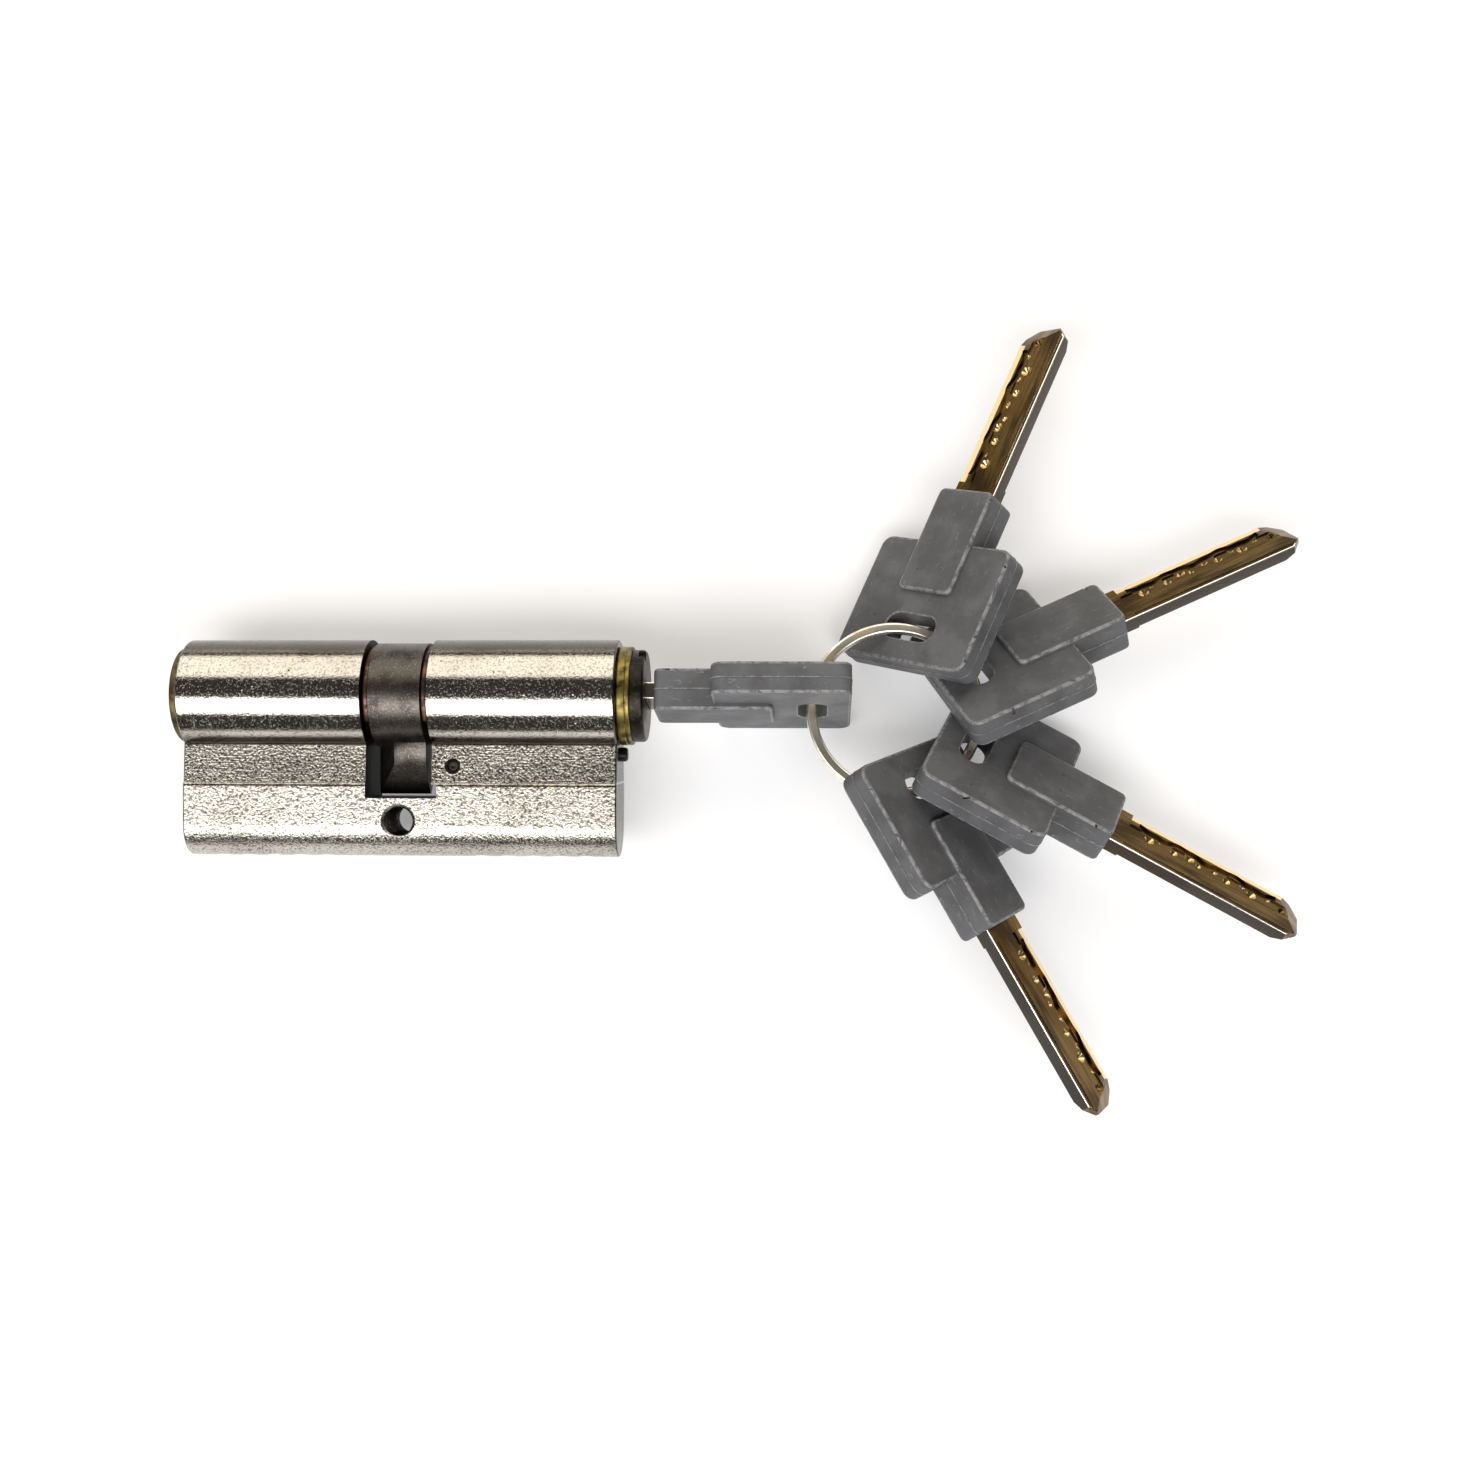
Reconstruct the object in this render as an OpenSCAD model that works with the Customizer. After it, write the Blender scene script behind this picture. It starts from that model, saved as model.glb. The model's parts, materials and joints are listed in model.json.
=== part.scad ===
// Double euro-profile cylinder with dimple keys on a split ring.
// The cylinder is drawn in its own frame: origin at the centre of the fixing-screw hole,
// +X along the plug axis to the keyed side, +Y from the flange to the barrel, +Z along the hole.
// lying() then lays it on a flat surface, and the ring and loose keys lie on the same surface.

/* [Cylinder body] */
// Length from the cam centre to the keyed end face
outer_half = 33; // [29:0.5:60]
// Length from the cam centre to the other end face
inner_half = 33; // [29:0.5:60]
// Diameter of the round barrel
barrel_d = 17; // [16:0.1:21]
// Overall height of the profile
body_h = 33; // [31:0.1:40]
// Thickness of the flange at the fixing screw
flange_t = 10; // [9:0.1:12]
// Thickness of the flange where it meets the barrel
waist_t = 8.8; // [8:0.1:9.5]
// Height of the full-thickness band, from the hole centre up
band_h = 5.5; // [3:0.1:7]
// Depth of the step above that band, each side
band_step = 0.25; // [0.1:0.05:0.5]
// Distance from the plug axis to the fixing-screw hole
screw_drop = 19; // [18.5:0.1:24]

/* [Fixing screw] */
// Core diameter of the tapped hole
screw_d = 4.2; // [3.4:0.1:5]
// Depth of the chamfer at each mouth
screw_chamfer = 0.55; // [0.2:0.05:0.8]

/* [Cam] */
// Width of the cam slot in the body
slot_w = 10; // [9:0.1:12]
// Depth of the cam slot, from the plug axis
slot_depth = 15.5; // [15:0.1:17]
// Extra width of the slot at its floor, on the keyed side
slot_relief = 0.8; // [0:0.1:1.5]
// Diameter of the cam ring
cam_d = 16; // [14.5:0.1:18]
// Radius of the cam nose, from the plug axis
cam_reach = 15; // [13:0.1:16]
// Thickness of the cam nose
nose_t = 7.2; // [5:0.1:8]
// Bore of the cam for the clutch
cam_bore_d = 9; // [8:0.1:9.6]
// Gap between the cam and each retaining clip
cam_gap = 0.15; // [0.1:0.01:0.2]

/* [Plugs] */
// Diameter of the turning plugs
plug_d = 13; // [12:0.1:14]
// Radial clearance of a turning plug
run_gap = 0.05; // [0.02:0.01:0.1]
// Diameter of the collar on the keyed side
collar_d = 15; // [14.4:0.1:16]
// Thickness of that collar
collar_t = 2; // [1:0.1:3]
// Diameter of the dark key guide
guide_d = 14; // [12:0.1:15]
// Thickness of the key guide
guide_t = 2; // [1:0.1:3]
// Diameter of the other plug's face
face_d = 14.5; // [14:0.1:16]
// Thickness of that face
face_t = 1.2; // [0.8:0.1:3]
// Diameter of the plug tails that carry the cam
tail_d = 11; // [10:0.1:12]
// Diameter of the clip grooves
groove_d = 10; // [9:0.1:10.6]
// Diameter of the retaining clips
clip_d = 15.2; // [14:0.1:16]
// Thickness of the retaining clips
clip_t = 0.7; // [0.5:0.05:0.8]

/* [Pins] */
// Diameter of the pins
pin_d = 2.8; // [2.3:0.1:3.4]
// Diameter of the tips of the key pins
tip_d = 1.8; // [1.4:0.1:2.2]
// Length of the tips of the key pins
tip_l = 3.2; // [2.8:0.1:3.4]
// Radial clearance of a pin in its chamber
pin_gap = 0.05; // [0.03:0.01:0.1]
// Spacing of the pins
pin_pitch = 4; // [4:0.1:5]
// Distance from the cam centre to the first pin
first_pin = 12; // [11.5:0.1:14]
// Least wall between the last pin's centre and the end face
end_wall = 5; // [4.5:0.1:8]
// Length of the driver pins
driver_l = 6.5; // [5:0.1:7]
// Wire of the pin springs
spring_wire = 0.36; // [0.3:0.02:0.5]
// Length of the plugs that close the chambers
stopper_l = 1.8; // [1:0.1:2.5]
// Diameter of the staked pin in the flange's side
side_pin_d = 2.4; // [2:0.1:3]
// Diameter of the hardened pin in the end face
guard_pin_d = 2.2; // [1.6:0.1:2.4]

/* [Keys] */
// Width of the blade
blade_w = 8; // [7:0.1:9.6]
// Thickness of the blade
blade_t = 2.5; // [2:0.1:3]
// Clearance of the blade in the keyway, each side
key_gap = 0.12; // [0.05:0.01:0.3]
// Depth step of the dimples
dimple_step = 0.25; // [0.15:0.01:0.28]
// Distance from the cam centre to the tip of the inserted key
tip_x = 7.7; // [7.5:0.1:9]
// Width of the key heads
head_w = 25.3; // [22:0.1:33]
// Length of the key heads
head_l = 20.6; // [20:0.1:27]
// Thickness of the key heads
head_t = 4.7; // [4:0.1:6]
// Radius of the head corners
head_r = 1.9; // [1:0.1:4]
// Width of the neck
neck_w = 10.3; // [10:0.1:14]
// Length of the neck past the head
neck_l = 8.9; // [8:0.1:12]
// Thickness of the neck and of its pad on the head
neck_t = 6.3; // [5.5:0.1:8]
// Length of the pad on the head
pad_l = 8.9; // [6:0.1:10]
// Width of the ring slot, across the key
ring_slot_w = 9.6; // [9.6:0.1:14]
// Length of the ring slot, along the key
ring_slot_l = 4.3; // [4:0.1:6]
// Distance from the head's end to the slot's centre
ring_slot_x = 5.8; // [5:0.1:8]
// Gap between the key guide and the inserted key's neck
neck_gap = 1.4; // [0.5:0.1:3]
// Turn of the inserted key from the pins' line, in degrees
key_turn = 12; // [8:1:25]

/* [Split ring] */
// Radius of the ring at the middle of its wire
ring_r = 12.9; // [12:0.1:17]
// Width of the wire, along the ring's radius
wire_w = 1.6; // [1.2:0.1:2]
// Thickness of the wire
wire_t = 0.9; // [0.7:0.05:1.1]

/* [Hidden] */
$fn = 72;
eps = 0.01;                     // lets a cut run past the face that it opens

axis_y = screw_drop;
barrel_r = barrel_d / 2;
plug_r = plug_d / 2;
bore_r = plug_r + run_gap;
flange_r = flange_t / 2;
body_low = axis_y + barrel_r - body_h;      // lowest line of the flange
foot_y = body_low + flange_r;               // centre of the rounded foot
junction_y = axis_y - sqrt(pow(barrel_r, 2) - pow(waist_t / 2, 2));

// Cam stack, outwards from the cam centre
slot_half = slot_w / 2;
clip_out = slot_half - 0.25;                // outer face of each clip
clip_in = clip_out - clip_t;
cam_half = clip_in - cam_gap;
tail_in = cam_half - 1.25;                  // the tails reach this far into the cam
groove_in = clip_in - 0.05;
groove_out = clip_out + 0.05;
clutch_bar_t = 2.9;
clutch_key_w = clutch_bar_t + 0.1;
clutch_bar_l = cam_bore_d + 1.2;
clutch_disc_d = cam_bore_d - 0.2;
clutch_disc_t = 1.45;
clutch_reach = clip_in - 0.1;               // the outer clutch bar reaches into the plug's tail
stem_d = 4;
spring_half = tail_in - 0.2 - clutch_disc_t;

// Nose of the keyed plug and the inserted key
face_gap = 0.1;                             // between a collar and the body's end face
collar_in = outer_half + face_gap;
collar_out = collar_in + collar_t;
guide_out = collar_out + guide_t;
guide_sink = 0.8;
guide_seat_d = guide_d - 2.4;
neck_x = guide_out + neck_gap;
key_slot_x = neck_x + neck_l + head_l - ring_slot_x;
blade_l = neck_x - tip_x;
shank_l = 8;
shank_w = blade_w - 1.5;

// Pins, as distances below the plug axis
dimple_codes = [3, 1, 2, 3, 1, 2, 2, 1, 3, 1, 2, 3];
shear_gap = plug_r - sqrt(pow(bore_r, 2) - pow(pin_d / 2, 2)) + 0.01;  // keeps the corners of a pin inside the bore
rest_rise = 0.55;                           // how far past the axis a free key pin stands
chamber_r = pin_d / 2 + pin_gap;
press_gap = 0.02;                           // radial gap of a piece that is pressed in
neck_r = tip_d / 2 + pin_gap * 2;
chamber_neck = tip_l - rest_rise - 0.05;    // where the chamber narrows
keyway_half = blade_t / 2 + key_gap;
stopper_top = body_low + stopper_l + 0.25;
spring_r = pin_d / 2 - spring_wire;
spring_sides = 6;
spring_steps = 9;
spring_turns = 5;

// Small pins
side_pin_x = slot_half + 3.2;
side_pin_y = axis_y - barrel_r - 2.2;
guard_pin_y = axis_y - collar_d / 2 - guard_pin_d / 2 - 0.3;
guard_pin_l = 4.7;
guard_pin_out = 1.2;
plug_guard_d = 1.5;
plug_guard_l = 5;

// How the cylinder lies: on the barrel, on the flange and on the edge of the inserted key's head
lie_roll = asin((barrel_r - flange_r) / (axis_y - foot_y));
head_lean = key_turn - lie_roll;
head_drop = head_w / 2 * cos(head_lean) + head_t / 2 * sin(head_lean);
head_near_x = neck_x + neck_l + head_r;
lie_pitch = atan((head_drop - barrel_r) / (head_near_x + inner_half));
axis_z = axis_y * sin(lie_roll);
table_z = (axis_z - barrel_r) * cos(lie_pitch) - inner_half * sin(lie_pitch);

// Split ring: it hangs on the low end of the inserted key's slot, level with the surface
ring_sag = ring_slot_w / 2 - wire_t - 0.8;      // clear of the slot's end, which leans to the ring
slot_along = key_slot_x * cos(lie_pitch) - axis_z * sin(lie_pitch);
slot_height = key_slot_x * sin(lie_pitch) + axis_z * cos(lie_pitch);
ring_bearing = 174;                         // direction from the ring's centre to the inserted key
ring_x = slot_along - ring_r * cos(ring_bearing);
ring_y = axis_y * cos(lie_roll) - ring_sag * sin(head_lean) - ring_r * sin(ring_bearing);
ring_z = slot_height - ring_sag * cos(head_lean);
ring_step = 40;                             // the wire climbs from coil to coil over this angle
ring_end = 22;                              // each end of the wire stops this far from the climb's middle
ring_turn = 118;                            // where the climb lies
coil_gap = 0.06;
wire_sides = 10;
wire_steps = 150;

// Loose keys: place on the ring, heading, roll, pitch, lift of the slot above the wire, slide along it
key_1_pose = [73.9, 66.5, -41.4, 0.9, 0.28, -0.37];
key_2_pose = [24.2, 24.9, -40.9, -0.1, 0.13, 0.44];
key_3_pose = [-29.1, -28.5, -40.3, -0.6, 0.11, 0.44];
key_4_pose = [-75, -60.5, -43.9, -0.8, 0.3, -0.56];

nickel = [0.86, 0.84, 0.79];
brass = [0.78, 0.66, 0.34];
dark_steel = [0.27, 0.25, 0.23];
sinter = [0.33, 0.31, 0.29];
copper = [0.52, 0.33, 0.24];
spring_steel = [0.75, 0.75, 0.76];
head_grey = [0.36, 0.36, 0.37];
blade_nickel = [0.83, 0.77, 0.6];

// ---- placing ----

// Lays the cylinder's own frame on the surface
module lying() {
    rotate([lie_roll, -lie_pitch, 0])
        children();
}

// The plug axis, with X along it
module on_axis() {
    translate([0, axis_y, 0])
        children();
}

// A key in the keyed plug: X to the tip, Y across, Z through its thickness, origin in its ring slot
module in_plug() {
    lying()
        on_axis()
            rotate([-key_turn, 0, 0])
                translate([key_slot_x, 0, 0])
                    rotate([90, 0, 180])
                        children();
}

// A loose key on the ring
module on_ring(pose) {
    translate([ring_x, ring_y, ring_z])
        rotate([0, 0, pose[0]])
            translate([ring_r, 0, pose[4]])
                rotate([0, 0, pose[1] - pose[0]])
                    rotate([pose[2], pose[3], 0])
                        translate([pose[5], 0, 0])
                            children();
}

// Extrudes a Y-Z outline along X
module along_x(x_from, x_to) {
    translate([x_from, 0, 0])
        rotate([90, 0, 90])
            linear_extrude(x_to - x_from)
                children();
}

// A round bar along X
module bar_x(x_from, x_to, d) {
    translate([x_from, 0, 0])
        rotate([0, 90, 0])
            cylinder(h = x_to - x_from, d = d);
}

// A round bar that points away from the plug axis, towards the flange
module bar_down(from, to, r) {
    rotate([90, 0, 0])
        translate([0, 0, from])
            cylinder(h = to - from, r = r);
}

// ---- sizes that follow from the pins ----

function pin_count(half) = floor((half - end_wall - first_pin) / pin_pitch) + 1;
function pin_x(i) = first_pin + i * pin_pitch;
function dimple_depth(i) = dimple_step * dimple_codes[i % len(dimple_codes)];
function key_pin_l(i) = plug_r - shear_gap - blade_t / 2 + dimple_depth(i);

// Runs its children at each pin of one half; side is 1 for the keyed half and -1 for the other
module each_pin(side) {
    half = side > 0 ? outer_half : inner_half;
    for (i = [0 : pin_count(half) - 1])
        translate([side * pin_x(i), 0, 0]) {
            $pin = i;
            children();
        }
}

// ---- cylinder body ----

module body_outline() {
    translate([axis_y, 0])
        circle(r = barrel_r, $fn = 96);
    translate([foot_y, 0])
        circle(r = flange_r);
    translate([foot_y, -flange_r])
        square([band_h - foot_y, flange_t]);
    polygon([
        [band_h - eps, -(flange_r - band_step)],
        [junction_y + 1, -waist_t / 2],
        [junction_y + 1, waist_t / 2],
        [band_h - eps, flange_r - band_step]
    ]);
}

module screw_hole() {
    translate([0, 0, -flange_r - eps])
        cylinder(h = flange_t + 2 * eps, d = screw_d);
    for (end = [-1, 1])
        rotate([end < 0 ? 180 : 0, 0, 0])
            translate([0, 0, flange_r - screw_chamfer])
                cylinder(h = screw_chamfer + eps, d1 = screw_d, d2 = screw_d + 2 * screw_chamfer + 2 * eps);
}

module cam_slot() {
    floor_y = axis_y - slot_depth;
    wide = barrel_d + 2;
    translate([-slot_half, floor_y, -wide / 2])
        cube([slot_w, body_h, wide]);
    translate([0, floor_y, -wide / 2])
        cube([slot_half + slot_relief, band_h - floor_y, wide]);
}

module body_chambers(side) {
    on_axis()
        each_pin(side)
            bar_down(plug_r - 1, body_h, chamber_r);
}

module cylinder_body() {
    color(nickel)
        lying()
            difference() {
                along_x(-inner_half, outer_half)
                    body_outline();
                on_axis()
                    bar_x(-inner_half - 1, outer_half + 1, 2 * bore_r);
                cam_slot();
                screw_hole();
                body_chambers(1);
                body_chambers(-1);
                translate([side_pin_x, side_pin_y, -flange_t])
                    cylinder(h = 2 * flange_t, d = side_pin_d);
                translate([0, guard_pin_y, 0])
                    bar_x(outer_half + guard_pin_out - guard_pin_l, outer_half + 1, guard_pin_d);
            }
}

module fixing_side_pin() {
    length = waist_t - 0.2;
    color(dark_steel)
        lying()
            translate([side_pin_x, side_pin_y, -length / 2])
                cylinder(h = length, d = side_pin_d - 2 * press_gap);
}

module guard_pin() {
    color(dark_steel)
        lying()
            translate([0, guard_pin_y, 0])
                bar_x(outer_half + guard_pin_out - guard_pin_l, outer_half + guard_pin_out,
                    guard_pin_d - 2 * press_gap);
}

// ---- plugs ----

module keyway(x_from, x_to) {
    along_x(x_from, x_to)
        square([2 * keyway_half, blade_w + 2 * key_gap], center = true);
}

module plug_chambers(side) {
    each_pin(side) {
        bar_down(chamber_neck, plug_r + 1, chamber_r);
        bar_down(0, chamber_neck + eps, neck_r);
    }
}

// Rotor and tail of either plug, drawn on the +X side
module plug_core(half) {
    bar_x(slot_half, half + face_gap + eps, plug_d);
    bar_x(tail_in, slot_half + eps, tail_d);
}

module clip_groove() {
    difference() {
        bar_x(groove_in, groove_out, tail_d + 1);
        bar_x(groove_in - 1, groove_out + 1, groove_d);
    }
}

module tail_key_slot() {
    translate([tail_in - 1, -tail_d, -clutch_key_w / 2])
        cube([clutch_reach + 0.1 - tail_in + 1, 2 * tail_d, clutch_key_w]);
}

module plug_guard_bores() {
    for (side = [-1, 1])
        translate([0, plug_r * 0.6, side * plug_r * 0.42])
            bar_x(collar_out - guide_sink - plug_guard_l, collar_out, plug_guard_d);
}

module outer_plug() {
    color(brass)
        lying()
            on_axis()
                difference() {
                    union() {
                        plug_core(outer_half);
                        bar_x(collar_in, collar_out, collar_d);
                    }
                    clip_groove();
                    tail_key_slot();
                    bar_x(tail_in - 1, tip_x + eps, stem_d + 0.2);
                    bar_x(collar_out - guide_sink, collar_out + 1, guide_seat_d);
                    rotate([-key_turn, 0, 0]) {
                        keyway(tip_x - 0.2, collar_out + 1);
                        plug_chambers(1);
                        plug_guard_bores();
                    }
                }
}

module plug_guard_pins() {
    color(dark_steel)
        lying()
            on_axis()
                rotate([-key_turn, 0, 0])
                    for (side = [-1, 1])
                        translate([0, plug_r * 0.6, side * plug_r * 0.42])
                            bar_x(collar_out - guide_sink - plug_guard_l, collar_out - guide_sink,
                                plug_guard_d - 2 * press_gap);
}

module key_guide() {
    scoop_d = 2.6;
    color(dark_steel)
        lying()
            on_axis()
                rotate([-key_turn, 0, 0])
                    difference() {
                        union() {
                            bar_x(collar_out, guide_out, guide_d);
                            bar_x(collar_out - guide_sink, collar_out + eps, guide_seat_d - 2 * press_gap);
                        }
                        keyway(collar_out - guide_sink - 1, guide_out + 1);
                        rotate([35, 0, 0])
                            translate([0, guide_d / 2, 0])
                                bar_x(guide_out - guide_t / 2, guide_out + 1, scoop_d);
                    }
}

module inner_plug() {
    color(brass)
        lying()
            on_axis()
                difference() {
                    mirror([1, 0, 0])
                        difference() {
                            union() {
                                plug_core(inner_half);
                                bar_x(inner_half + face_gap, inner_half + face_gap + face_t, face_d);
                            }
                            clip_groove();
                            tail_key_slot();
                            bar_x(tail_in - 1, tip_x + eps, stem_d + 0.2);
                            keyway(tip_x - 0.2, inner_half + face_gap + face_t + 1);
                        }
                    plug_chambers(-1);
                }
}

// ---- cam and clutch ----

module cam_outline() {
    circle(d = cam_d, $fn = 96);
    intersection() {
        circle(r = cam_reach, $fn = 96);
        translate([-cam_reach, -nose_t / 2])
            square([cam_reach, nose_t]);
    }
}

module cam() {
    color(sinter)
        lying()
            on_axis()
                difference() {
                    along_x(-cam_half, cam_half)
                        cam_outline();
                    bar_x(-cam_half - 1, cam_half + 1, cam_bore_d);
                    for (side = [-1, 1])
                        mirror([side < 0 ? 1 : 0, 0, 0])
                            bar_x(tail_in - 0.05, cam_half + 1, tail_d + 2 * run_gap);
                    translate([-tail_in, -(clutch_bar_l + 0.2) / 2, -clutch_key_w / 2])
                        cube([2 * tail_in, clutch_bar_l + 0.2, clutch_key_w]);
                }
}

// Disc, drive bar and stem of a clutch half, drawn on the +X side
module clutch_half(bar_to, stem_to) {
    disc_in = spring_half;
    bar_x(disc_in, disc_in + clutch_disc_t, clutch_disc_d);
    translate([disc_in, -clutch_bar_l / 2, -clutch_bar_t / 2])
        cube([bar_to - disc_in, clutch_bar_l, clutch_bar_t]);
    bar_x(disc_in, stem_to, stem_d);
}

module outer_clutch() {
    color(spring_steel)
        lying()
            on_axis()
                clutch_half(clutch_reach, tip_x - 0.25);
}

module inner_clutch() {
    color(spring_steel)
        lying()
            on_axis()
                mirror([1, 0, 0])
                    clutch_half(spring_half + clutch_disc_t, spring_half + clutch_disc_t + 1.5);
}

module clutch_spring() {
    wire = 0.5;
    color(spring_steel)
        lying()
            on_axis()
                translate([-spring_half, 0, 0])
                    rotate([0, 90, 0])
                        coil(2 * spring_half, 2.6, wire, 2.5);
}

// Open retaining clip in the groove of a plug's tail
module clip() {
    mouth = groove_d * 0.72;
    difference() {
        bar_x(clip_in, clip_out, clip_d);
        bar_x(clip_in - 1, clip_out + 1, groove_d + 0.1);
        translate([clip_in - 1, 0, -mouth / 2])
            cube([clip_t + 2, clip_d, mouth]);
    }
}

module outer_clip() {
    color(copper)
        lying()
            on_axis()
                rotate([150, 0, 0])
                    clip();
}

module inner_clip() {
    color(copper)
        lying()
            on_axis()
                mirror([1, 0, 0])
                    rotate([150, 0, 0])
                        clip();
}

// ---- pins and springs ----

// Key pin whose tip ends "top" below the plug axis
module key_pin(top, length) {
    taper = 0.5;
    bar_down(top + taper, top + tip_l + eps, tip_d / 2);
    rotate([90, 0, 0])
        translate([0, 0, top])
            cylinder(h = taper + eps, d1 = tip_d - 2 * taper, d2 = tip_d);
    bar_down(top + tip_l, top + length, pin_d / 2);
}

module outer_key_pins() {
    color(brass)
        lying()
            on_axis()
                rotate([-key_turn, 0, 0])
                    each_pin(1)
                        key_pin(blade_t / 2 - dimple_depth($pin), key_pin_l($pin));
}

module inner_key_pins() {
    color(brass)
        lying()
            on_axis()
                each_pin(-1)
                    key_pin(-rest_rise, key_pin_l($pin));
}

function driver_top(side, i) = side > 0 ? bore_r + 0.05 : key_pin_l(i) - rest_rise + 0.02;

module driver_pins(side) {
    color(spring_steel)
        lying()
            on_axis()
                each_pin(side)
                    bar_down(driver_top(side, $pin), driver_top(side, $pin) + driver_l, pin_d / 2);
}

module outer_driver_pins() {
    driver_pins(1);
}

module inner_driver_pins() {
    driver_pins(-1);
}

function coil_point(t, r, turns, length, wire) = [
    r * cos(360 * turns * t),
    r * sin(360 * turns * t),
    wire / 2 + (length - wire) * t
];

// Round wire coil of the given length along Z, with flat ends to the wire
module coil(length, r, wire, turns) {
    steps = ceil(turns * spring_steps);
    rings = [for (k = [0 : steps]) k];
    points = [for (k = rings, s = [0 : spring_sides - 1])
        let (t = k / steps, c = coil_point(t, r, turns, length, wire), a = 360 * turns * t, b = 360 * s / spring_sides)
        c + wire / 2 * [cos(a) * cos(b), sin(a) * cos(b), sin(b)]];
    polyhedron(points, tube_faces(steps, spring_sides));
}

// Triangles of a tube of "steps" stretches with "n" sides, closed at both ends
function tube_faces(steps, n) = concat(
    [for (k = [0 : steps - 1], s = [0 : n - 1]) [k * n + s, (k + 1) * n + s, (k + 1) * n + (s + 1) % n]],
    [for (k = [0 : steps - 1], s = [0 : n - 1]) [k * n + s, (k + 1) * n + (s + 1) % n, k * n + (s + 1) % n]],
    [for (s = [1 : n - 2]) [0, s, s + 1]],
    [for (s = [1 : n - 2]) [steps * n, steps * n + s + 1, steps * n + s]]
);

module pin_springs(side) {
    color(spring_steel)
        lying()
            on_axis()
                each_pin(side) {
                    top = driver_top(side, $pin) + driver_l;
                    length = axis_y - stopper_top - top;
                    rotate([90, 0, 0])
                        translate([0, 0, top])
                            coil(length, spring_r, spring_wire, spring_turns);
                }
}

module outer_pin_springs() {
    pin_springs(1);
}

module inner_pin_springs() {
    pin_springs(-1);
}

module stoppers(side) {
    color(brass)
        lying()
            on_axis()
                each_pin(side)
                    bar_down(axis_y - stopper_top, axis_y - stopper_top + stopper_l, chamber_r - press_gap);
}

module outer_stoppers() {
    stoppers(1);
}

module inner_stoppers() {
    stoppers(-1);
}

// ---- split ring ----

function ring_rise(a) = a < 360 - ring_step / 2 ? 0
    : a > 360 + ring_step / 2 ? 1
    : (1 - cos(180 * (a - 360 + ring_step / 2) / ring_step)) / 2;

module split_ring() {
    coil_z = wire_t + coil_gap;
    sweep = 720 - 2 * ring_end;
    points = [for (k = [0 : wire_steps], s = [0 : wire_sides - 1])
        let (a = ring_end + sweep * k / wire_steps, b = 360 * (s + 0.5) / wire_sides,
            r = ring_r + wire_w / 2 * cos(b), z = coil_z * (ring_rise(a) - 0.5) + wire_t / 2 * sin(b))
        [r * cos(a), r * sin(a), z]];
    color(spring_steel)
        translate([ring_x, ring_y, ring_z])
            rotate([0, 0, ring_turn])
                polyhedron(points, tube_faces(wire_steps, wire_sides));
}

// ---- keys ----

blade_from = head_l - ring_slot_x + neck_l;     // from the ring slot to the end of the neck
blade_to = blade_from + blade_l;
head_from = -ring_slot_x;
head_to = head_l - ring_slot_x;

module rounded_plate(x_from, x_to, w, t, r) {
    translate([0, 0, -t / 2])
        linear_extrude(t)
            union() {
                translate([x_from + r, -w / 2])
                    square([x_to - x_from - 2 * r, w]);
                translate([x_from, -w / 2 + r])
                    square([x_to - x_from, w - 2 * r]);
                for (x = [x_from + r, x_to - r], y = [-w / 2 + r, w / 2 - r])
                    translate([x, y])
                        circle(r = r, $fn = 32);
            }
}

module shank() {
    translate([blade_from - shank_l, -shank_w / 2, -blade_t / 2])
        cube([shank_l + eps, shank_w, blade_t]);
}

module blade() {
    nose = 2.2;
    groove_w = 1.3;
    groove_depth = 0.45;
    color(blade_nickel)
        difference() {
            union() {
                translate([0, 0, -blade_t / 2])
                    linear_extrude(blade_t)
                        polygon([
                            [blade_from, -blade_w / 2],
                            [blade_to - nose, -blade_w / 2],
                            [blade_to, -blade_w / 2 + nose],
                            [blade_to, blade_w / 2 - nose],
                            [blade_to - nose, blade_w / 2],
                            [blade_from, blade_w / 2]
                        ]);
                shank();
            }
            for (face = [0, 180])
                rotate([face, 0, 0]) {
                    translate([blade_from + 2, blade_w / 2 - 2 * groove_w, blade_t / 2 - groove_depth])
                        cube([blade_l, groove_w, 1]);
                    for (i = [0 : pin_count(outer_half) - 1])
                        translate([key_slot_x - pin_x(i), 0, blade_t / 2 - dimple_depth(i)])
                            cylinder(h = dimple_depth(i) + eps, r1 = tip_d / 2 - 0.35,
                                r2 = tip_d / 2 - 0.35 + dimple_depth(i));
                }
        }
}

module head() {
    color(head_grey)
        difference() {
            union() {
                rounded_plate(head_from, head_to, head_w, head_t, head_r);
                rounded_plate(head_to - pad_l, blade_from, neck_w, neck_t, 1);
            }
            translate([-ring_slot_l / 2, -ring_slot_w / 2, -head_t])
                cube([ring_slot_l, ring_slot_w, 2 * head_t]);
            shank();
        }
}

module key_1_blade() {
    on_ring(key_1_pose)
        blade();
}

module key_1_head() {
    on_ring(key_1_pose)
        head();
}

module key_2_blade() {
    on_ring(key_2_pose)
        blade();
}

module key_2_head() {
    on_ring(key_2_pose)
        head();
}

module key_3_blade() {
    on_ring(key_3_pose)
        blade();
}

module key_3_head() {
    on_ring(key_3_pose)
        head();
}

module key_4_blade() {
    on_ring(key_4_pose)
        blade();
}

module key_4_head() {
    on_ring(key_4_pose)
        head();
}

module key_5_blade() {
    in_plug()
        blade();
}

module key_5_head() {
    in_plug()
        head();
}

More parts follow.
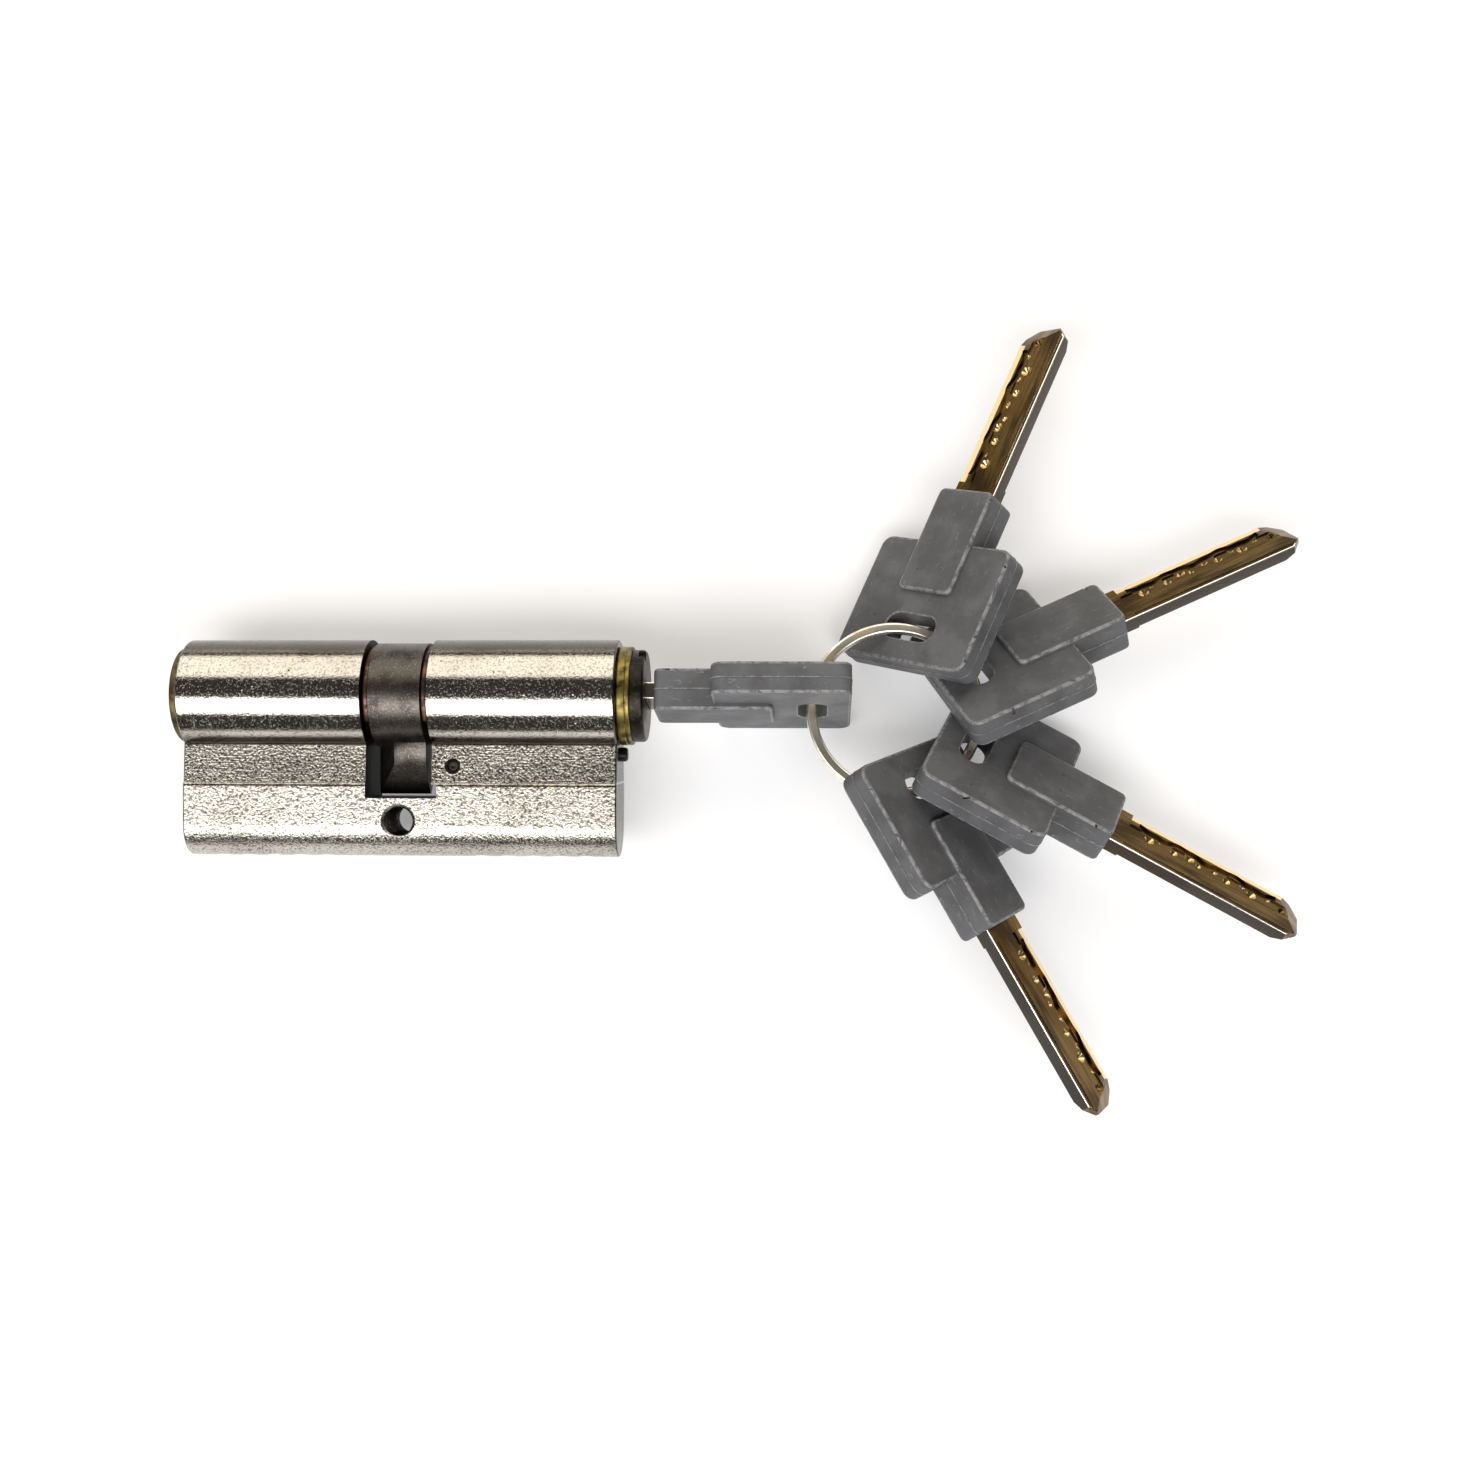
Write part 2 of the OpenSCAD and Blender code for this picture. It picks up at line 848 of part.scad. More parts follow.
cylinder_body();
fixing_side_pin();
guard_pin();
outer_plug();
key_guide();
plug_guard_pins();
inner_plug();
cam();
outer_clutch();
inner_clutch();
clutch_spring();
outer_clip();
inner_clip();
outer_key_pins();
inner_key_pins();
outer_driver_pins();
inner_driver_pins();
outer_pin_springs();
inner_pin_springs();
outer_stoppers();
inner_stoppers();
split_ring();
key_1_blade();
key_1_head();
key_2_blade();
key_2_head();
key_3_blade();
key_3_head();
key_4_blade();
key_4_head();
key_5_blade();
key_5_head();
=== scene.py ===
import json
import math
import random

import bmesh
import bpy
from mathutils import Matrix, Vector


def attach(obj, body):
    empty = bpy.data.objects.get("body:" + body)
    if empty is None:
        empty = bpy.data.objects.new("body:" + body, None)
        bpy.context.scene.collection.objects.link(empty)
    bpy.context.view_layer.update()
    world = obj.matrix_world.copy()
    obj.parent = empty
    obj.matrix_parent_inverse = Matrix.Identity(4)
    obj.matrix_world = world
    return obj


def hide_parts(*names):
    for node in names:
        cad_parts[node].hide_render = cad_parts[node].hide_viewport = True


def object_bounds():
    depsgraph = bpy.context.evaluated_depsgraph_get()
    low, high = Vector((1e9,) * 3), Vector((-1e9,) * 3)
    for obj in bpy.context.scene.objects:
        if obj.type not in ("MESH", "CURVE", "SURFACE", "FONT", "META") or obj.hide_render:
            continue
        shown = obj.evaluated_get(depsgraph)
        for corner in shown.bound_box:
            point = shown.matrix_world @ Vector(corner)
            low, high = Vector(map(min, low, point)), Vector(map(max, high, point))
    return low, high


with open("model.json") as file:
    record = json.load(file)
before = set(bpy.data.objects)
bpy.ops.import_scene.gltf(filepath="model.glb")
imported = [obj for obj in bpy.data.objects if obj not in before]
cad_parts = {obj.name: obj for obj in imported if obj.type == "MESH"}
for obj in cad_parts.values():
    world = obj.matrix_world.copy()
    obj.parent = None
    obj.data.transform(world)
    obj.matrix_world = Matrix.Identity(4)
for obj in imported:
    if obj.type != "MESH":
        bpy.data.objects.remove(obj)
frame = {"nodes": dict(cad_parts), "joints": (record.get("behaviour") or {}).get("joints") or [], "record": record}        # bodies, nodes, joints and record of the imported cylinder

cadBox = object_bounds()
nodes = frame["nodes"]
joints = {joint["name"]: joint for joint in frame["joints"]}
mounts = {mount["name"]: mount for mount in frame["record"]["mounts"]}
mm = 0.001
tiny = 0.0001                # millimetres, for merging doubles
overshoot = 1.0              # millimetres that a cut runs past the face that it opens
fitGap = 0.02                # millimetres between a small piece and its seat

scene = bpy.context.scene
print("frame loaded:", len(nodes), "nodes")


# Places: each piece is modelled in millimetres in its own frame and then laid in the shared frame

def placeFrom(origin, along, up):
    along = Vector(along).normalized()
    up = Vector(up)
    up = (up - along * up.dot(along)).normalized()
    turn = Matrix((along, up.cross(along), up)).transposed().to_4x4()
    return Matrix.Translation(Vector(origin)) @ turn @ Matrix.Scale(mm, 4)


def spanOf(place, *names):
    inverse = place.inverted()
    spots = [inverse @ vert.co for name in names for vert in nodes[name].data.vertices]
    low = Vector([min(spot[axis] for spot in spots) for axis in range(3)])
    high = Vector([max(spot[axis] for spot in spots) for axis in range(3)])
    return low, high


def centreOf(name):
    faces = nodes[name].data.polygons
    area = sum(face.area for face in faces)
    return sum((face.center * face.area for face in faces), Vector()) / area


plugAxis = joints["plug_turn"]["axis"]
holeAxis = mounts["fixing_screw"]["axis"]
cylinderPlace = placeFrom((0, 0, 0), plugAxis, holeAxis)      # X along the plugs, Y from flange to barrel
axisY = (cylinderPlace.inverted() @ Vector(joints["plug_turn"]["pos_m"])).y
axisPlace = cylinderPlace @ Matrix.Translation((0, axisY, 0))  # the same, on the plug axis
ringPlace = placeFrom(joints["fan_slide"]["pos_m"], (1, 0, 0), (0, 0, 1))

headSizes = {
    "slotFromEnd": 5.8,      # ring slot's centre from the head's end
    "plateLong": 20.6,
    "plateThick": 4.7,
    "cornerRadius": 1.9,
    "neckWide": 10.3,
    "padLong": 8.9,          # how far the neck's block runs over the plate
    "slotWide": 9.6,
    "slotLong": 4.3,
    "slotCorner": 2.0,
    "rim": 0.4,              # rounding of the long edges
    "neckCorner": 1.0,
    "slotRim": 0.22,
    "seamHalf": 0.09,        # half width of the moulding's flash
    "seamOut": 0.07,
}


def keyPlace(number):        # X to the tip, Z up through the face that shows, origin in the ring slot
    head = f"key_{number}_head"
    face = max(nodes[head].data.polygons, key=lambda polygon: polygon.area)
    up = face.normal.copy()
    along = centreOf(f"key_{number}_blade") - centreOf(head)
    along -= up * along.dot(up)
    if up.z < 0:
        up.negate()
    rough = placeFrom(centreOf(head), along, up)
    low, high = spanOf(rough, head)
    middle = (low + high) / 2
    return placeFrom(rough @ Vector((low.x + headSizes["slotFromEnd"], middle.y, middle.z)), along, up)


keyNumbers = range(1, 6)
keyPlaces = {number: keyPlace(number) for number in keyNumbers}


# Sizes of the body, which its finish follows too

bodySizes = {
    "flangeHalf": 5.0,       # half of the flange's thickness
    "waistHalf": 4.4,        # the same where it meets the barrel
    "bandTop": 5.5,          # top of the full-thickness band
    "bandStep": 0.32,
    "lipFrom": 0.46,         # the band's lip: its start and its shoulder above the band's top,
    "lipShoulder": 0.12,     # the shoulder again below it, and its end
    "lipTo": 0.45,
    "lipDrops": (0.055, 0.012),    # how far each shoulder lies inside the band's face
    "slotHalf": 5.0,         # cam slot
    "slotDepth": 15.5,
    "slotRelief": 0.8,
    "boreRadius": 6.55,
    "screwRadius": 2.1,
    "threadDepth": 0.34,
    "threadPitch": 0.8,
    "screwChamfer": 0.55,
    "endChamfer": 0.32,
    "edge": 0.1,
    "chamberRadius": 1.45,
    "firstPin": 12.0,
    "pinPitch": 4.0,
}
bodyLow, bodyHigh = spanOf(cylinderPlace, "cylinder_body")


# Finishes

class Flow:                  # a shader value that can be reckoned with
    def __init__(self, finish, socket):
        self.finish = finish
        self.socket = socket

    def reckon(self, operation, *values):
        return self.finish.add("Math", {"operation": operation}, dict(enumerate(values)))

    def __add__(self, other):
        return self.reckon("ADD", self, other)

    __radd__ = __add__

    def __sub__(self, other):
        return self.reckon("SUBTRACT", self, other)

    def __rsub__(self, other):
        return self.reckon("SUBTRACT", other, self)

    def __mul__(self, other):
        return self.reckon("MULTIPLY", self, other)

    __rmul__ = __mul__

    def __lt__(self, other):
        return self.reckon("LESS_THAN", self, other)

    def __gt__(self, other):
        return self.reckon("GREATER_THAN", self, other)


class Finish:
    def __init__(self, name, onPiece=True):
        self.material = bpy.data.materials.new(name)
        self.material.use_nodes = True
        self.nodes = self.material.node_tree.nodes
        self.links = self.material.node_tree.links
        self.shader = self.nodes["Principled BSDF"]
        if onPiece:
            self.spot = self.add("Attribute", {"attribute_name": "spot"}, output="Vector")
        else:
            place = self.add("TexCoord", output="Object")
            self.spot = self.vector("MULTIPLY", place, (1 / mm, 1 / mm, 1 / mm))

    def add(self, kind, settings=None, values=None, output=0):
        node = self.nodes.new("ShaderNode" + kind)
        for name, value in (settings or {}).items():
            setattr(node, name, value)
        self.feed(node, values or {})
        return Flow(self, node.outputs[output])

    def feed(self, node, values):
        for name, value in values.items():
            if isinstance(value, Flow):
                self.links.new(value.socket, node.inputs[name])
            else:
                node.inputs[name].default_value = value

    def vector(self, operation, first, second):
        return self.add("VectorMath", {"operation": operation}, {0: first, 1: second})

    def parts(self):
        split = self.add("SeparateXYZ", values={0: self.spot})
        return [Flow(self, socket) for socket in split.socket.node.outputs]

    def stretched(self, stretch):
        return self.spot if stretch is None else self.vector("MULTIPLY", self.spot, stretch)

    def noise(self, scale, detail=3.0, stretch=None, rough=0.55, warp=0.0):
        where = self.stretched(stretch)
        values = {"Vector": where, "Scale": scale, "Detail": detail, "Roughness": rough, "Distortion": warp}
        return self.add("TexNoise", values=values)

    def cells(self, scale, stretch=None):
        return self.add("TexVoronoi", values={"Vector": self.stretched(stretch), "Scale": scale})

    def ease(self, value, low, high, toLow=0.0, toHigh=1.0):
        values = {"Value": value, "From Min": low, "From Max": high, "To Min": toLow, "To Max": toHigh}
        return self.add("MapRange", {"interpolation_type": "SMOOTHSTEP"}, values)

    def paint(self, mask, first, second):
        first, second = [(*shade, 1) if isinstance(shade, tuple) else shade for shade in (first, second)]
        return self.add("Mix", {"data_type": "RGBA"}, {0: mask, 6: first, 7: second}, output=2)

    def relief(self, height, depth):              # depth in millimetres for a height of one
        return self.add("Bump", values={"Height": height, "Distance": depth * mm, "Strength": 1.0})

    def attribute(self, name):
        return self.add("Attribute", {"attribute_name": name}, output="Fac")

    def shade(self, values):
        self.feed(self.shader, values)
        return self.material

    def metal(self, colour, rough, height, depth, metallic=1.0):
        return self.shade({"Base Color": colour, "Metallic": metallic, "Roughness": rough,
                           "Normal": self.relief(height, depth)})


nickelLook = {
    "bright": (0.56, 0.535, 0.48),
    # darker nickel for the specks and stains, and for the painted shade on the sides, the ends and the step
    "dull": (0.10, 0.088, 0.072),
    "pit": (0.07, 0.06, 0.045),
    "inside": (0.012, 0.011, 0.010),   # painted shade on the walls of the slot, the thread and the bores
    "grain": 2.7,            # grains per millimetre
    "barrelGrain": 0.022,    # depth of the grain on the barrel, millimetres
    "flangeGrain": 0.095,    # on the tumbled flats of the flange
    "roughness": 0.09,
    "flangeFrom": 7.6,       # below the plug axis, where the flange's grain takes over
    "flangeFade": 0.3,
    "bandFade": 0.4,
    "sideFrom": 4.6,         # from the middle plane: painted shade darkens the barrel's sides up to here, and is gone from here
    "sideTo": 6.7,           # and clean from here
    "sideShadeStrength": 0.95,
    "stepShadeBelow": 0.22,        # painted shade along the step, below and above the band's top
    "stepShadeAbove": 0.02,
    "holeMargin": 0.12,
    "slotMargin": 0.03,
}


def nickelFinish():
    look = nickelLook
    finish = Finish("nickelPlate")
    x, y, z = finish.parts()
    across = x.reckon("ABSOLUTE", x)
    bandTop = bodySizes["bandTop"]
    flangeTop = axisY - look["flangeFrom"]
    flange = finish.ease(y, flangeTop, flangeTop + look["flangeFade"], 1.0, 0.0)
    grain = finish.noise(look["grain"], 2.5, rough=0.65)
    coarse = finish.noise(0.9, 2.0, rough=0.6)
    drag = finish.noise(4.5, 2.0, stretch=(0.05, 1.0, 1.0))
    patches = finish.noise(0.10, 2.0)
    pits = finish.ease(finish.cells(0.62), 0.05, 0.14, 1.0, 0.0) * finish.ease(finish.noise(0.4), 0.5, 0.6)
    scratches = finish.ease(finish.noise(0.55, 3.0, stretch=(1.6, 0.25, 0.25), warp=1.2), 0.69, 0.73)
    share = look["barrelGrain"] / look["flangeGrain"]
    upperBand = finish.ease(y, bandTop, bandTop + look["bandFade"]) * flange
    flecks = finish.ease(finish.noise(2.6, 3.0, rough=0.8), 0.60, 0.66)
    height = (grain + coarse * flange * 0.25 + drag * upperBand * 0.35) * (share + flange * (1 - share))
    height = height - pits * 0.5 - scratches * 0.4 - flecks * 0.55
    # painted shade on the barrel within sideFrom of the middle plane, fading out by sideTo
    paintedSideShade = finish.ease(z.reckon("ABSOLUTE", z), look["sideFrom"], look["sideTo"], look["sideShadeStrength"], 0.0)
    specks = finish.ease(grain, 0.38, 0.49, 1.0, 0.0)
    # painted shade on the end faces and their chamfers
    ends = finish.ease(across, bodyHigh.x - 0.3, bodyHigh.x - 0.1)
    stained = finish.ease(patches, 0.45, 0.7) * 0.2
    # the upper band is also made a little darker all over
    speckled = specks * (flange * 0.35 + 0.35) + flecks * 0.3 + upperBand * 0.15
    # darkening from specks, flecks and stains, plus painted shade on the barrel's sides and on the ends
    dull = speckled + stained + paintedSideShade * (1 - flange) + ends
    # painted highlight: the lip's slope is kept free of all darkening
    paintedLipHighlight = (y > bandTop + bodySizes["lipShoulder"]) * (y < bandTop + bodySizes["lipFrom"])
    # painted shade in a thin line along the step
    paintedStepShade = (y > bandTop - look["stepShadeBelow"]) * (y < bandTop + look["stepShadeAbove"])
    dull = dull * (1 - paintedLipHighlight) + paintedStepShade * 0.8
    plate = finish.paint(dull, look["bright"], look["dull"])
    worn = finish.paint(pits * 0.85, plate, look["pit"])
    fromHole = finish.add("VectorMath", {"operation": "LENGTH"},
                          {0: finish.vector("MULTIPLY", finish.spot, (1, 1, 0))}, output="Value")
    slotEdge = bodySizes["slotHalf"] + look["slotMargin"] + (y < bandTop) * bodySizes["slotRelief"] * (x > 0)
    inSlot = (across < slotEdge) * (y > axisY - bodySizes["slotDepth"] - look["slotMargin"])
    # painted shade: the slot's walls, the thread and the screw hole are painted near black
    inside = x.reckon("MAXIMUM", inSlot, fromHole < bodySizes["screwRadius"] + look["holeMargin"])
    rough = look["roughness"] + flange * 0.06 + patches * 0.05 + inside * 0.35
    return finish.metal(finish.paint(inside, worn, look["inside"]), rough, height, look["flangeGrain"])


brassLook = {
    "bright": (0.25, 0.20, 0.060),
    "tarnish": (0.055, 0.041, 0.016),
    "roughness": 0.24,
}
# a darker copy of the brass: painted shade on the far plug
shadedBrassLook = {
    "bright": (0.13, 0.105, 0.05),
    "tarnish": (0.045, 0.035, 0.018),
    "roughness": 0.34,
}


def brassFinish(name, look, onPiece):
    finish = Finish(name, onPiece)
    patches = finish.noise(0.55, 4.0, rough=0.62)
    turned = finish.noise(6.0, 2.0, stretch=(2.4, 0.25, 0.25))
    grain = finish.noise(3.0, 3.0)
    colour = finish.paint(finish.ease(patches, 0.4, 0.66), look["bright"], look["tarnish"])
    return finish.metal(colour, look["roughness"] + patches * 0.25, turned * 0.5 + grain, 0.006)


blackLook = {
    "steel": (0.017, 0.014, 0.012),
    "rubbed": (0.060, 0.049, 0.036),
    "roughness": 0.36,
}


def blackFinish(name, onPiece):
    look = blackLook
    finish = Finish(name, onPiece)
    wear = finish.ease(finish.noise(0.9, 4.0, rough=0.65), 0.48, 0.74)
    colour = finish.paint(wear, look["steel"], look["rubbed"])
    return finish.metal(colour, look["roughness"] + wear * 0.1, finish.noise(3.0, 3.0), 0.008, 0.85)


sinterLook = {
    "steel": (0.088, 0.078, 0.070),
    "grain": (0.34, 0.31, 0.27),
    "oil": (0.040, 0.034, 0.031),
    "roughness": 0.24,
}


def sinterFinish():
    look = sinterLook
    finish = Finish("sinteredSteel")
    sand = finish.noise(3.4, 3.0, rough=0.75)
    stains = finish.noise(0.35, 3.0)
    speck = finish.ease(sand, 0.52, 0.72)
    shade = finish.paint(finish.ease(stains, 0.42, 0.68), look["steel"], look["oil"])
    colour = finish.paint(speck * 0.5, shade, look["grain"])
    return finish.metal(colour, look["roughness"] + stains * 0.12, sand, 0.035, 0.92)


copperLook = {
    "copper": (0.14, 0.072, 0.055),
    "stained": (0.040, 0.024, 0.021),
    "roughness": 0.33,
}


def copperFinish():
    look = copperLook
    finish = Finish("copperedSteel")
    stains = finish.ease(finish.noise(0.7, 4.0, rough=0.7), 0.4, 0.62)
    colour = finish.paint(stains, look["copper"], look["stained"])
    return finish.metal(colour, look["roughness"] + stains * 0.15, finish.noise(2.0, 3.0), 0.02, 0.95)


brightLook = {
    "steel": (0.60, 0.60, 0.61),
    "dull": (0.36, 0.35, 0.34),
    "roughness": 0.22,
}


def brightFinish():
    look = brightLook
    finish = Finish("brightSteel", onPiece=False)
    grain = finish.noise(1.6, 3.0)
    colour = finish.paint(finish.ease(grain, 0.4, 0.7), look["steel"], look["dull"])
    return finish.metal(colour, look["roughness"] + grain * 0.15, grain, 0.004)


ringLook = {
    "bright": (1.0, 0.94, 0.80),
    "warm": (0.42, 0.29, 0.17),
    "roughness": 0.30,
}


def ringFinish():
    look = ringLook
    finish = Finish("ringWire")
    stains = finish.ease(finish.noise(0.22, 3.0, rough=0.55), 0.52, 0.72)
    lines = finish.noise(5.0, 2.0, stretch=(0.6, 0.6, 2.0))
    colour = finish.paint(stains * 0.6, look["bright"], look["warm"])
    return finish.metal(colour, look["roughness"] + stains * 0.12, lines, 0.002)


bladeLook = {
    "face": (0.19, 0.118, 0.040),
    "stained": (0.070, 0.044, 0.017),
    # painted highlight on the sloping land and the sloped flanks of the cuts
    "highlightStrip": (0.92, 0.68, 0.34),
    # painted highlight near white on the edge bevels, the engraved line and the strip beyond it; the shank
    # takes it too
    "rim": (0.92, 0.90, 0.85),
    # painted shade on the blade's side walls
    "wall": (0.15, 0.132, 0.115),
    "roughness": 0.17,
}


def bladeFinish():
    look = bladeLook
    finish = Finish("keyBlade")
    highlightStrip, rim, wall = [finish.attribute(name) for name in ("highlightStrip", "rim", "wall")]
    cutterLines = finish.noise(4.4, 2.0, stretch=(0.02, 1.8, 1.0), rough=0.5)
    stains = finish.noise(0.5, 2.0, stretch=(0.25, 1.3, 1.0), rough=0.5)
    grain = finish.noise(2.2, 3.0)
    face = finish.paint(finish.ease(stains, 0.38, 0.66), look["face"], look["stained"])
    # painted highlight on the land and the flanks of the cuts
    face = finish.paint(highlightStrip, face, look["highlightStrip"])
    # painted highlight on the edge bevels and by the engraved line
    face = finish.paint(rim, face, look["rim"])
    rough = look["roughness"] + stains * 0.10 + wall * 0.14
    height = cutterLines * (1 - wall * 0.7) + grain * 0.4
    # painted shade on the side walls
    return finish.metal(finish.paint(wall, face, look["wall"]), rough, height, 0.014)


plasticLook = {
    "grey": (0.112, 0.115, 0.123),
    "dark": (0.076, 0.077, 0.082),
    "rubbed": (0.24, 0.243, 0.255),
    "scuff": (0.36, 0.365, 0.38),
    "grime": (0.020, 0.019, 0.019),
    "roughness": 0.44,
}


def plasticFinish():
    look = plasticLook
    finish = Finish("mouldedGrey")
    edge = finish.attribute("edge")
    cloud = finish.noise(0.16, 3.0, rough=0.6)
    grain = finish.noise(3.0, 3.0, rough=0.6)
    nickNoise = finish.noise(0.9, 4.0, rough=0.75)
    drawn = finish.noise(1.4, 4.0, stretch=(0.35, 1.9, 1.0), rough=0.75, warp=0.6)
    scratches = finish.ease(drawn, 0.62, 0.72)
    crossed = finish.noise(1.2, 4.0, stretch=(1.9, 0.3, 1.0), rough=0.75, warp=0.8)
    crossing = finish.ease(crossed, 0.65, 0.74)
    chips = finish.cells(0.34, stretch=(1.0, 1.6, 1.0))
    nicks = finish.ease(chips, 0.025, 0.06, 1.0, 0.0) * (nickNoise > 0.5)
    base = finish.paint(finish.ease(cloud, 0.38, 0.66), look["grey"], look["dark"])
    worn = finish.paint(edge * finish.ease(nickNoise, 0.36, 0.6), base, look["rubbed"])
    scuffed = finish.paint((scratches + crossing) * 0.6, worn, look["scuff"])
    height = grain * 0.22 - scratches * 0.5 - crossing * 0.4 - nicks * 2.0 + finish.noise(0.5, 2.0) * 0.9
    return finish.shade({
        "Base Color": finish.paint(nicks * 0.8, scuffed, look["grime"]),
        "Metallic": 0.0,
        "Roughness": look["roughness"] + cloud * 0.16 - edge * 0.08,
        "Specular IOR Level": 0.45,
        "Normal": finish.relief(height, 0.035),
    })


floorLook = {
    "pale": (0.74, 0.745, 0.765),
    "shaded": (0.72, 0.725, 0.745),
    "roughness": 0.8,
    "glow": 0.28,
}


def floorFinish():
    look = floorLook
    finish = Finish("paleFloor", onPiece=False)
    mottle = finish.noise(0.02, 2.0)
    return finish.shade({
        "Base Color": finish.paint(mottle, look["pale"], look["shaded"]),
        "Roughness": look["roughness"],
        "Specular IOR Level": 0.1,
        "Emission Color": (1.0, 1.0, 1.0, 1.0),
        "Emission Strength": look["glow"],
    })


nickel = nickelFinish()
brass = brassFinish("turnedBrass", brassLook, True)
shadedBrass = brassFinish("shadedBrass", shadedBrassLook, True)
blackSteel = blackFinish("blackSteel", True)
sinter = sinterFinish()
copper = copperFinish()
ringSteel = ringFinish()
bladeMetal = bladeFinish()
plastic = plasticFinish()
innerBrass = brassFinish("pinBrass", brassLook, False)
innerBlack = blackFinish("pinSteel", False)
innerSteel = brightFinish()
print("finishes made:", len(bpy.data.materials))


# Modelling tools

def rotate(bm, angle, axis):
    bmesh.ops.rotate(bm, verts=bm.verts, cent=(0, 0, 0), matrix=Matrix.Rotation(angle, 3, axis))


def vertsIn(geometry):
    return [item for item in geometry if isinstance(item, bmesh.types.BMVert)]


def thicken(bm, faces, reach):                    # grows flat faces into a solid
    grown = bmesh.ops.extrude_face_region(bm, geom=faces)
    bmesh.ops.translate(bm, verts=vertsIn(grown["geom"]), vec=reach)
    bmesh.ops.recalc_face_normals(bm, faces=bm.faces)


def turned(profile, steps=96):                    # a profile of (x, radius) spun about X
    bm = bmesh.new()
    verts = [bm.verts.new((x, r, 0)) for x, r in profile]
    edges = [bm.edges.new(pair) for pair in zip(verts, verts[1:])]
    bmesh.ops.spin(bm, geom=verts + edges, axis=(1, 0, 0), cent=(0, 0, 0), dvec=(0, 0, 0),
                   angle=2 * math.pi, steps=steps, use_merge=True)
    bmesh.ops.remove_doubles(bm, verts=bm.verts, dist=tiny)
    bmesh.ops.recalc_face_normals(bm, faces=bm.faces)
    return bm


def rod(start, end, radius, endRadius=None, segments=48):
    bm = bmesh.new()
    start, end = Vector(start), Vector(end)
    turn = (end - start).to_track_quat("Z", "Y").to_matrix().to_4x4()
    bmesh.ops.create_cone(bm, cap_ends=True, segments=segments, radius1=radius,
                          radius2=radius if endRadius is None else endRadius, depth=(end - start).length,
                          matrix=Matrix.Translation((start + end) / 2) @ turn)
    return bm


def block(low, high):
    bm = bmesh.new()
    low, high = Vector(low), Vector(high)
    size = Matrix.Diagonal((*(high - low), 1))
    bmesh.ops.create_cube(bm, size=1, matrix=Matrix.Translation((low + high) / 2) @ size)
    return bm


def ramp(place, heading, slope, half):            # cuts down a slope that falls away in one direction
    bm = block((-half, 0, 0), (half, 3 * half, half))
    rotate(bm, math.radians(-slope), "X")
    rotate(bm, math.radians(heading - 90), "Z")
    bmesh.ops.translate(bm, verts=bm.verts, vec=place)
    return bm


def roundEdges(bm, edges, width, segments=3):
    bmesh.ops.bevel(bm, geom=edges, offset=width, offset_type="OFFSET", segments=segments, profile=0.5,
                    affect="EDGES", material=-1, clamp_overlap=True)


def sharpEdges(bm, angle=50.0, test=None):
    limit = math.radians(angle)
    return [edge for edge in bm.edges if edge.is_manifold and edge.calc_face_angle(0) > limit
            and (test is None or test(edge))]


def edgesAlong(bm, direction):
    direction = Vector(direction)
    return [edge for edge in bm.edges
            if abs((edge.verts[1].co - edge.verts[0].co).normalized().dot(direction)) > 0.999]


def boolean(bm, tool, operation="DIFFERENCE"):
    held = []
    for part in (bm, tool):
        mesh = bpy.data.meshes.new("held")
        part.to_mesh(mesh)
        piece = bpy.data.objects.new("held", mesh)
        scene.collection.objects.link(piece)
        held.append(piece)
    work = held[0].modifiers.new("cut", "BOOLEAN")
    work.operation = operation
    work.solver = "EXACT"
    work.object = held[1]
    depsgraph = bpy.context.evaluated_depsgraph_get()
    depsgraph.update()
    result = bpy.data.meshes.new_from_object(held[0].evaluated_get(depsgraph))
    bm.clear()
    bm.from_mesh(result)
    bmesh.ops.remove_doubles(bm, verts=bm.verts, dist=tiny)
    bmesh.ops.dissolve_degenerate(bm, edges=bm.edges, dist=tiny)
    meshes = [piece.data for piece in held] + [result]
    for piece in held:
        bpy.data.objects.remove(piece)
    for mesh in meshes:
        bpy.data.meshes.remove(mesh)
    tool.free()


def settle(name, bm, place, finish, body, slot, *stoodFor, smoothUnder=40.0):
    mesh = bpy.data.meshes.new(name)
    bm.to_mesh(mesh)
    bm.free()
    spot = mesh.attributes.new("spot", "FLOAT_VECTOR", "POINT")
    spot.data.foreach_set("vector", [value for vert in mesh.vertices for value in vert.co])
    mesh.polygons.foreach_set("use_smooth", [True] * len(mesh.polygons))
    mesh.set_sharp_from_angle(angle=math.radians(smoothUnder))
    mesh.transform(place)
    mesh.materials.append(finish)
    piece = bpy.data.objects.new(name, mesh)
    scene.collection.objects.link(piece)
    flats = piece.modifiers.new("flats", "WEIGHTED_NORMAL")
    flats.keep_sharp = True
    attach(piece, body)
    if stoodFor:
        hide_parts(*stoodFor)


# Cylinder body

barrelRadius = bodyHigh.z
pinSpots = [side * (bodySizes["firstPin"] + index * bodySizes["pinPitch"])
            for side in (-1, 1)
            for index in range(5)]


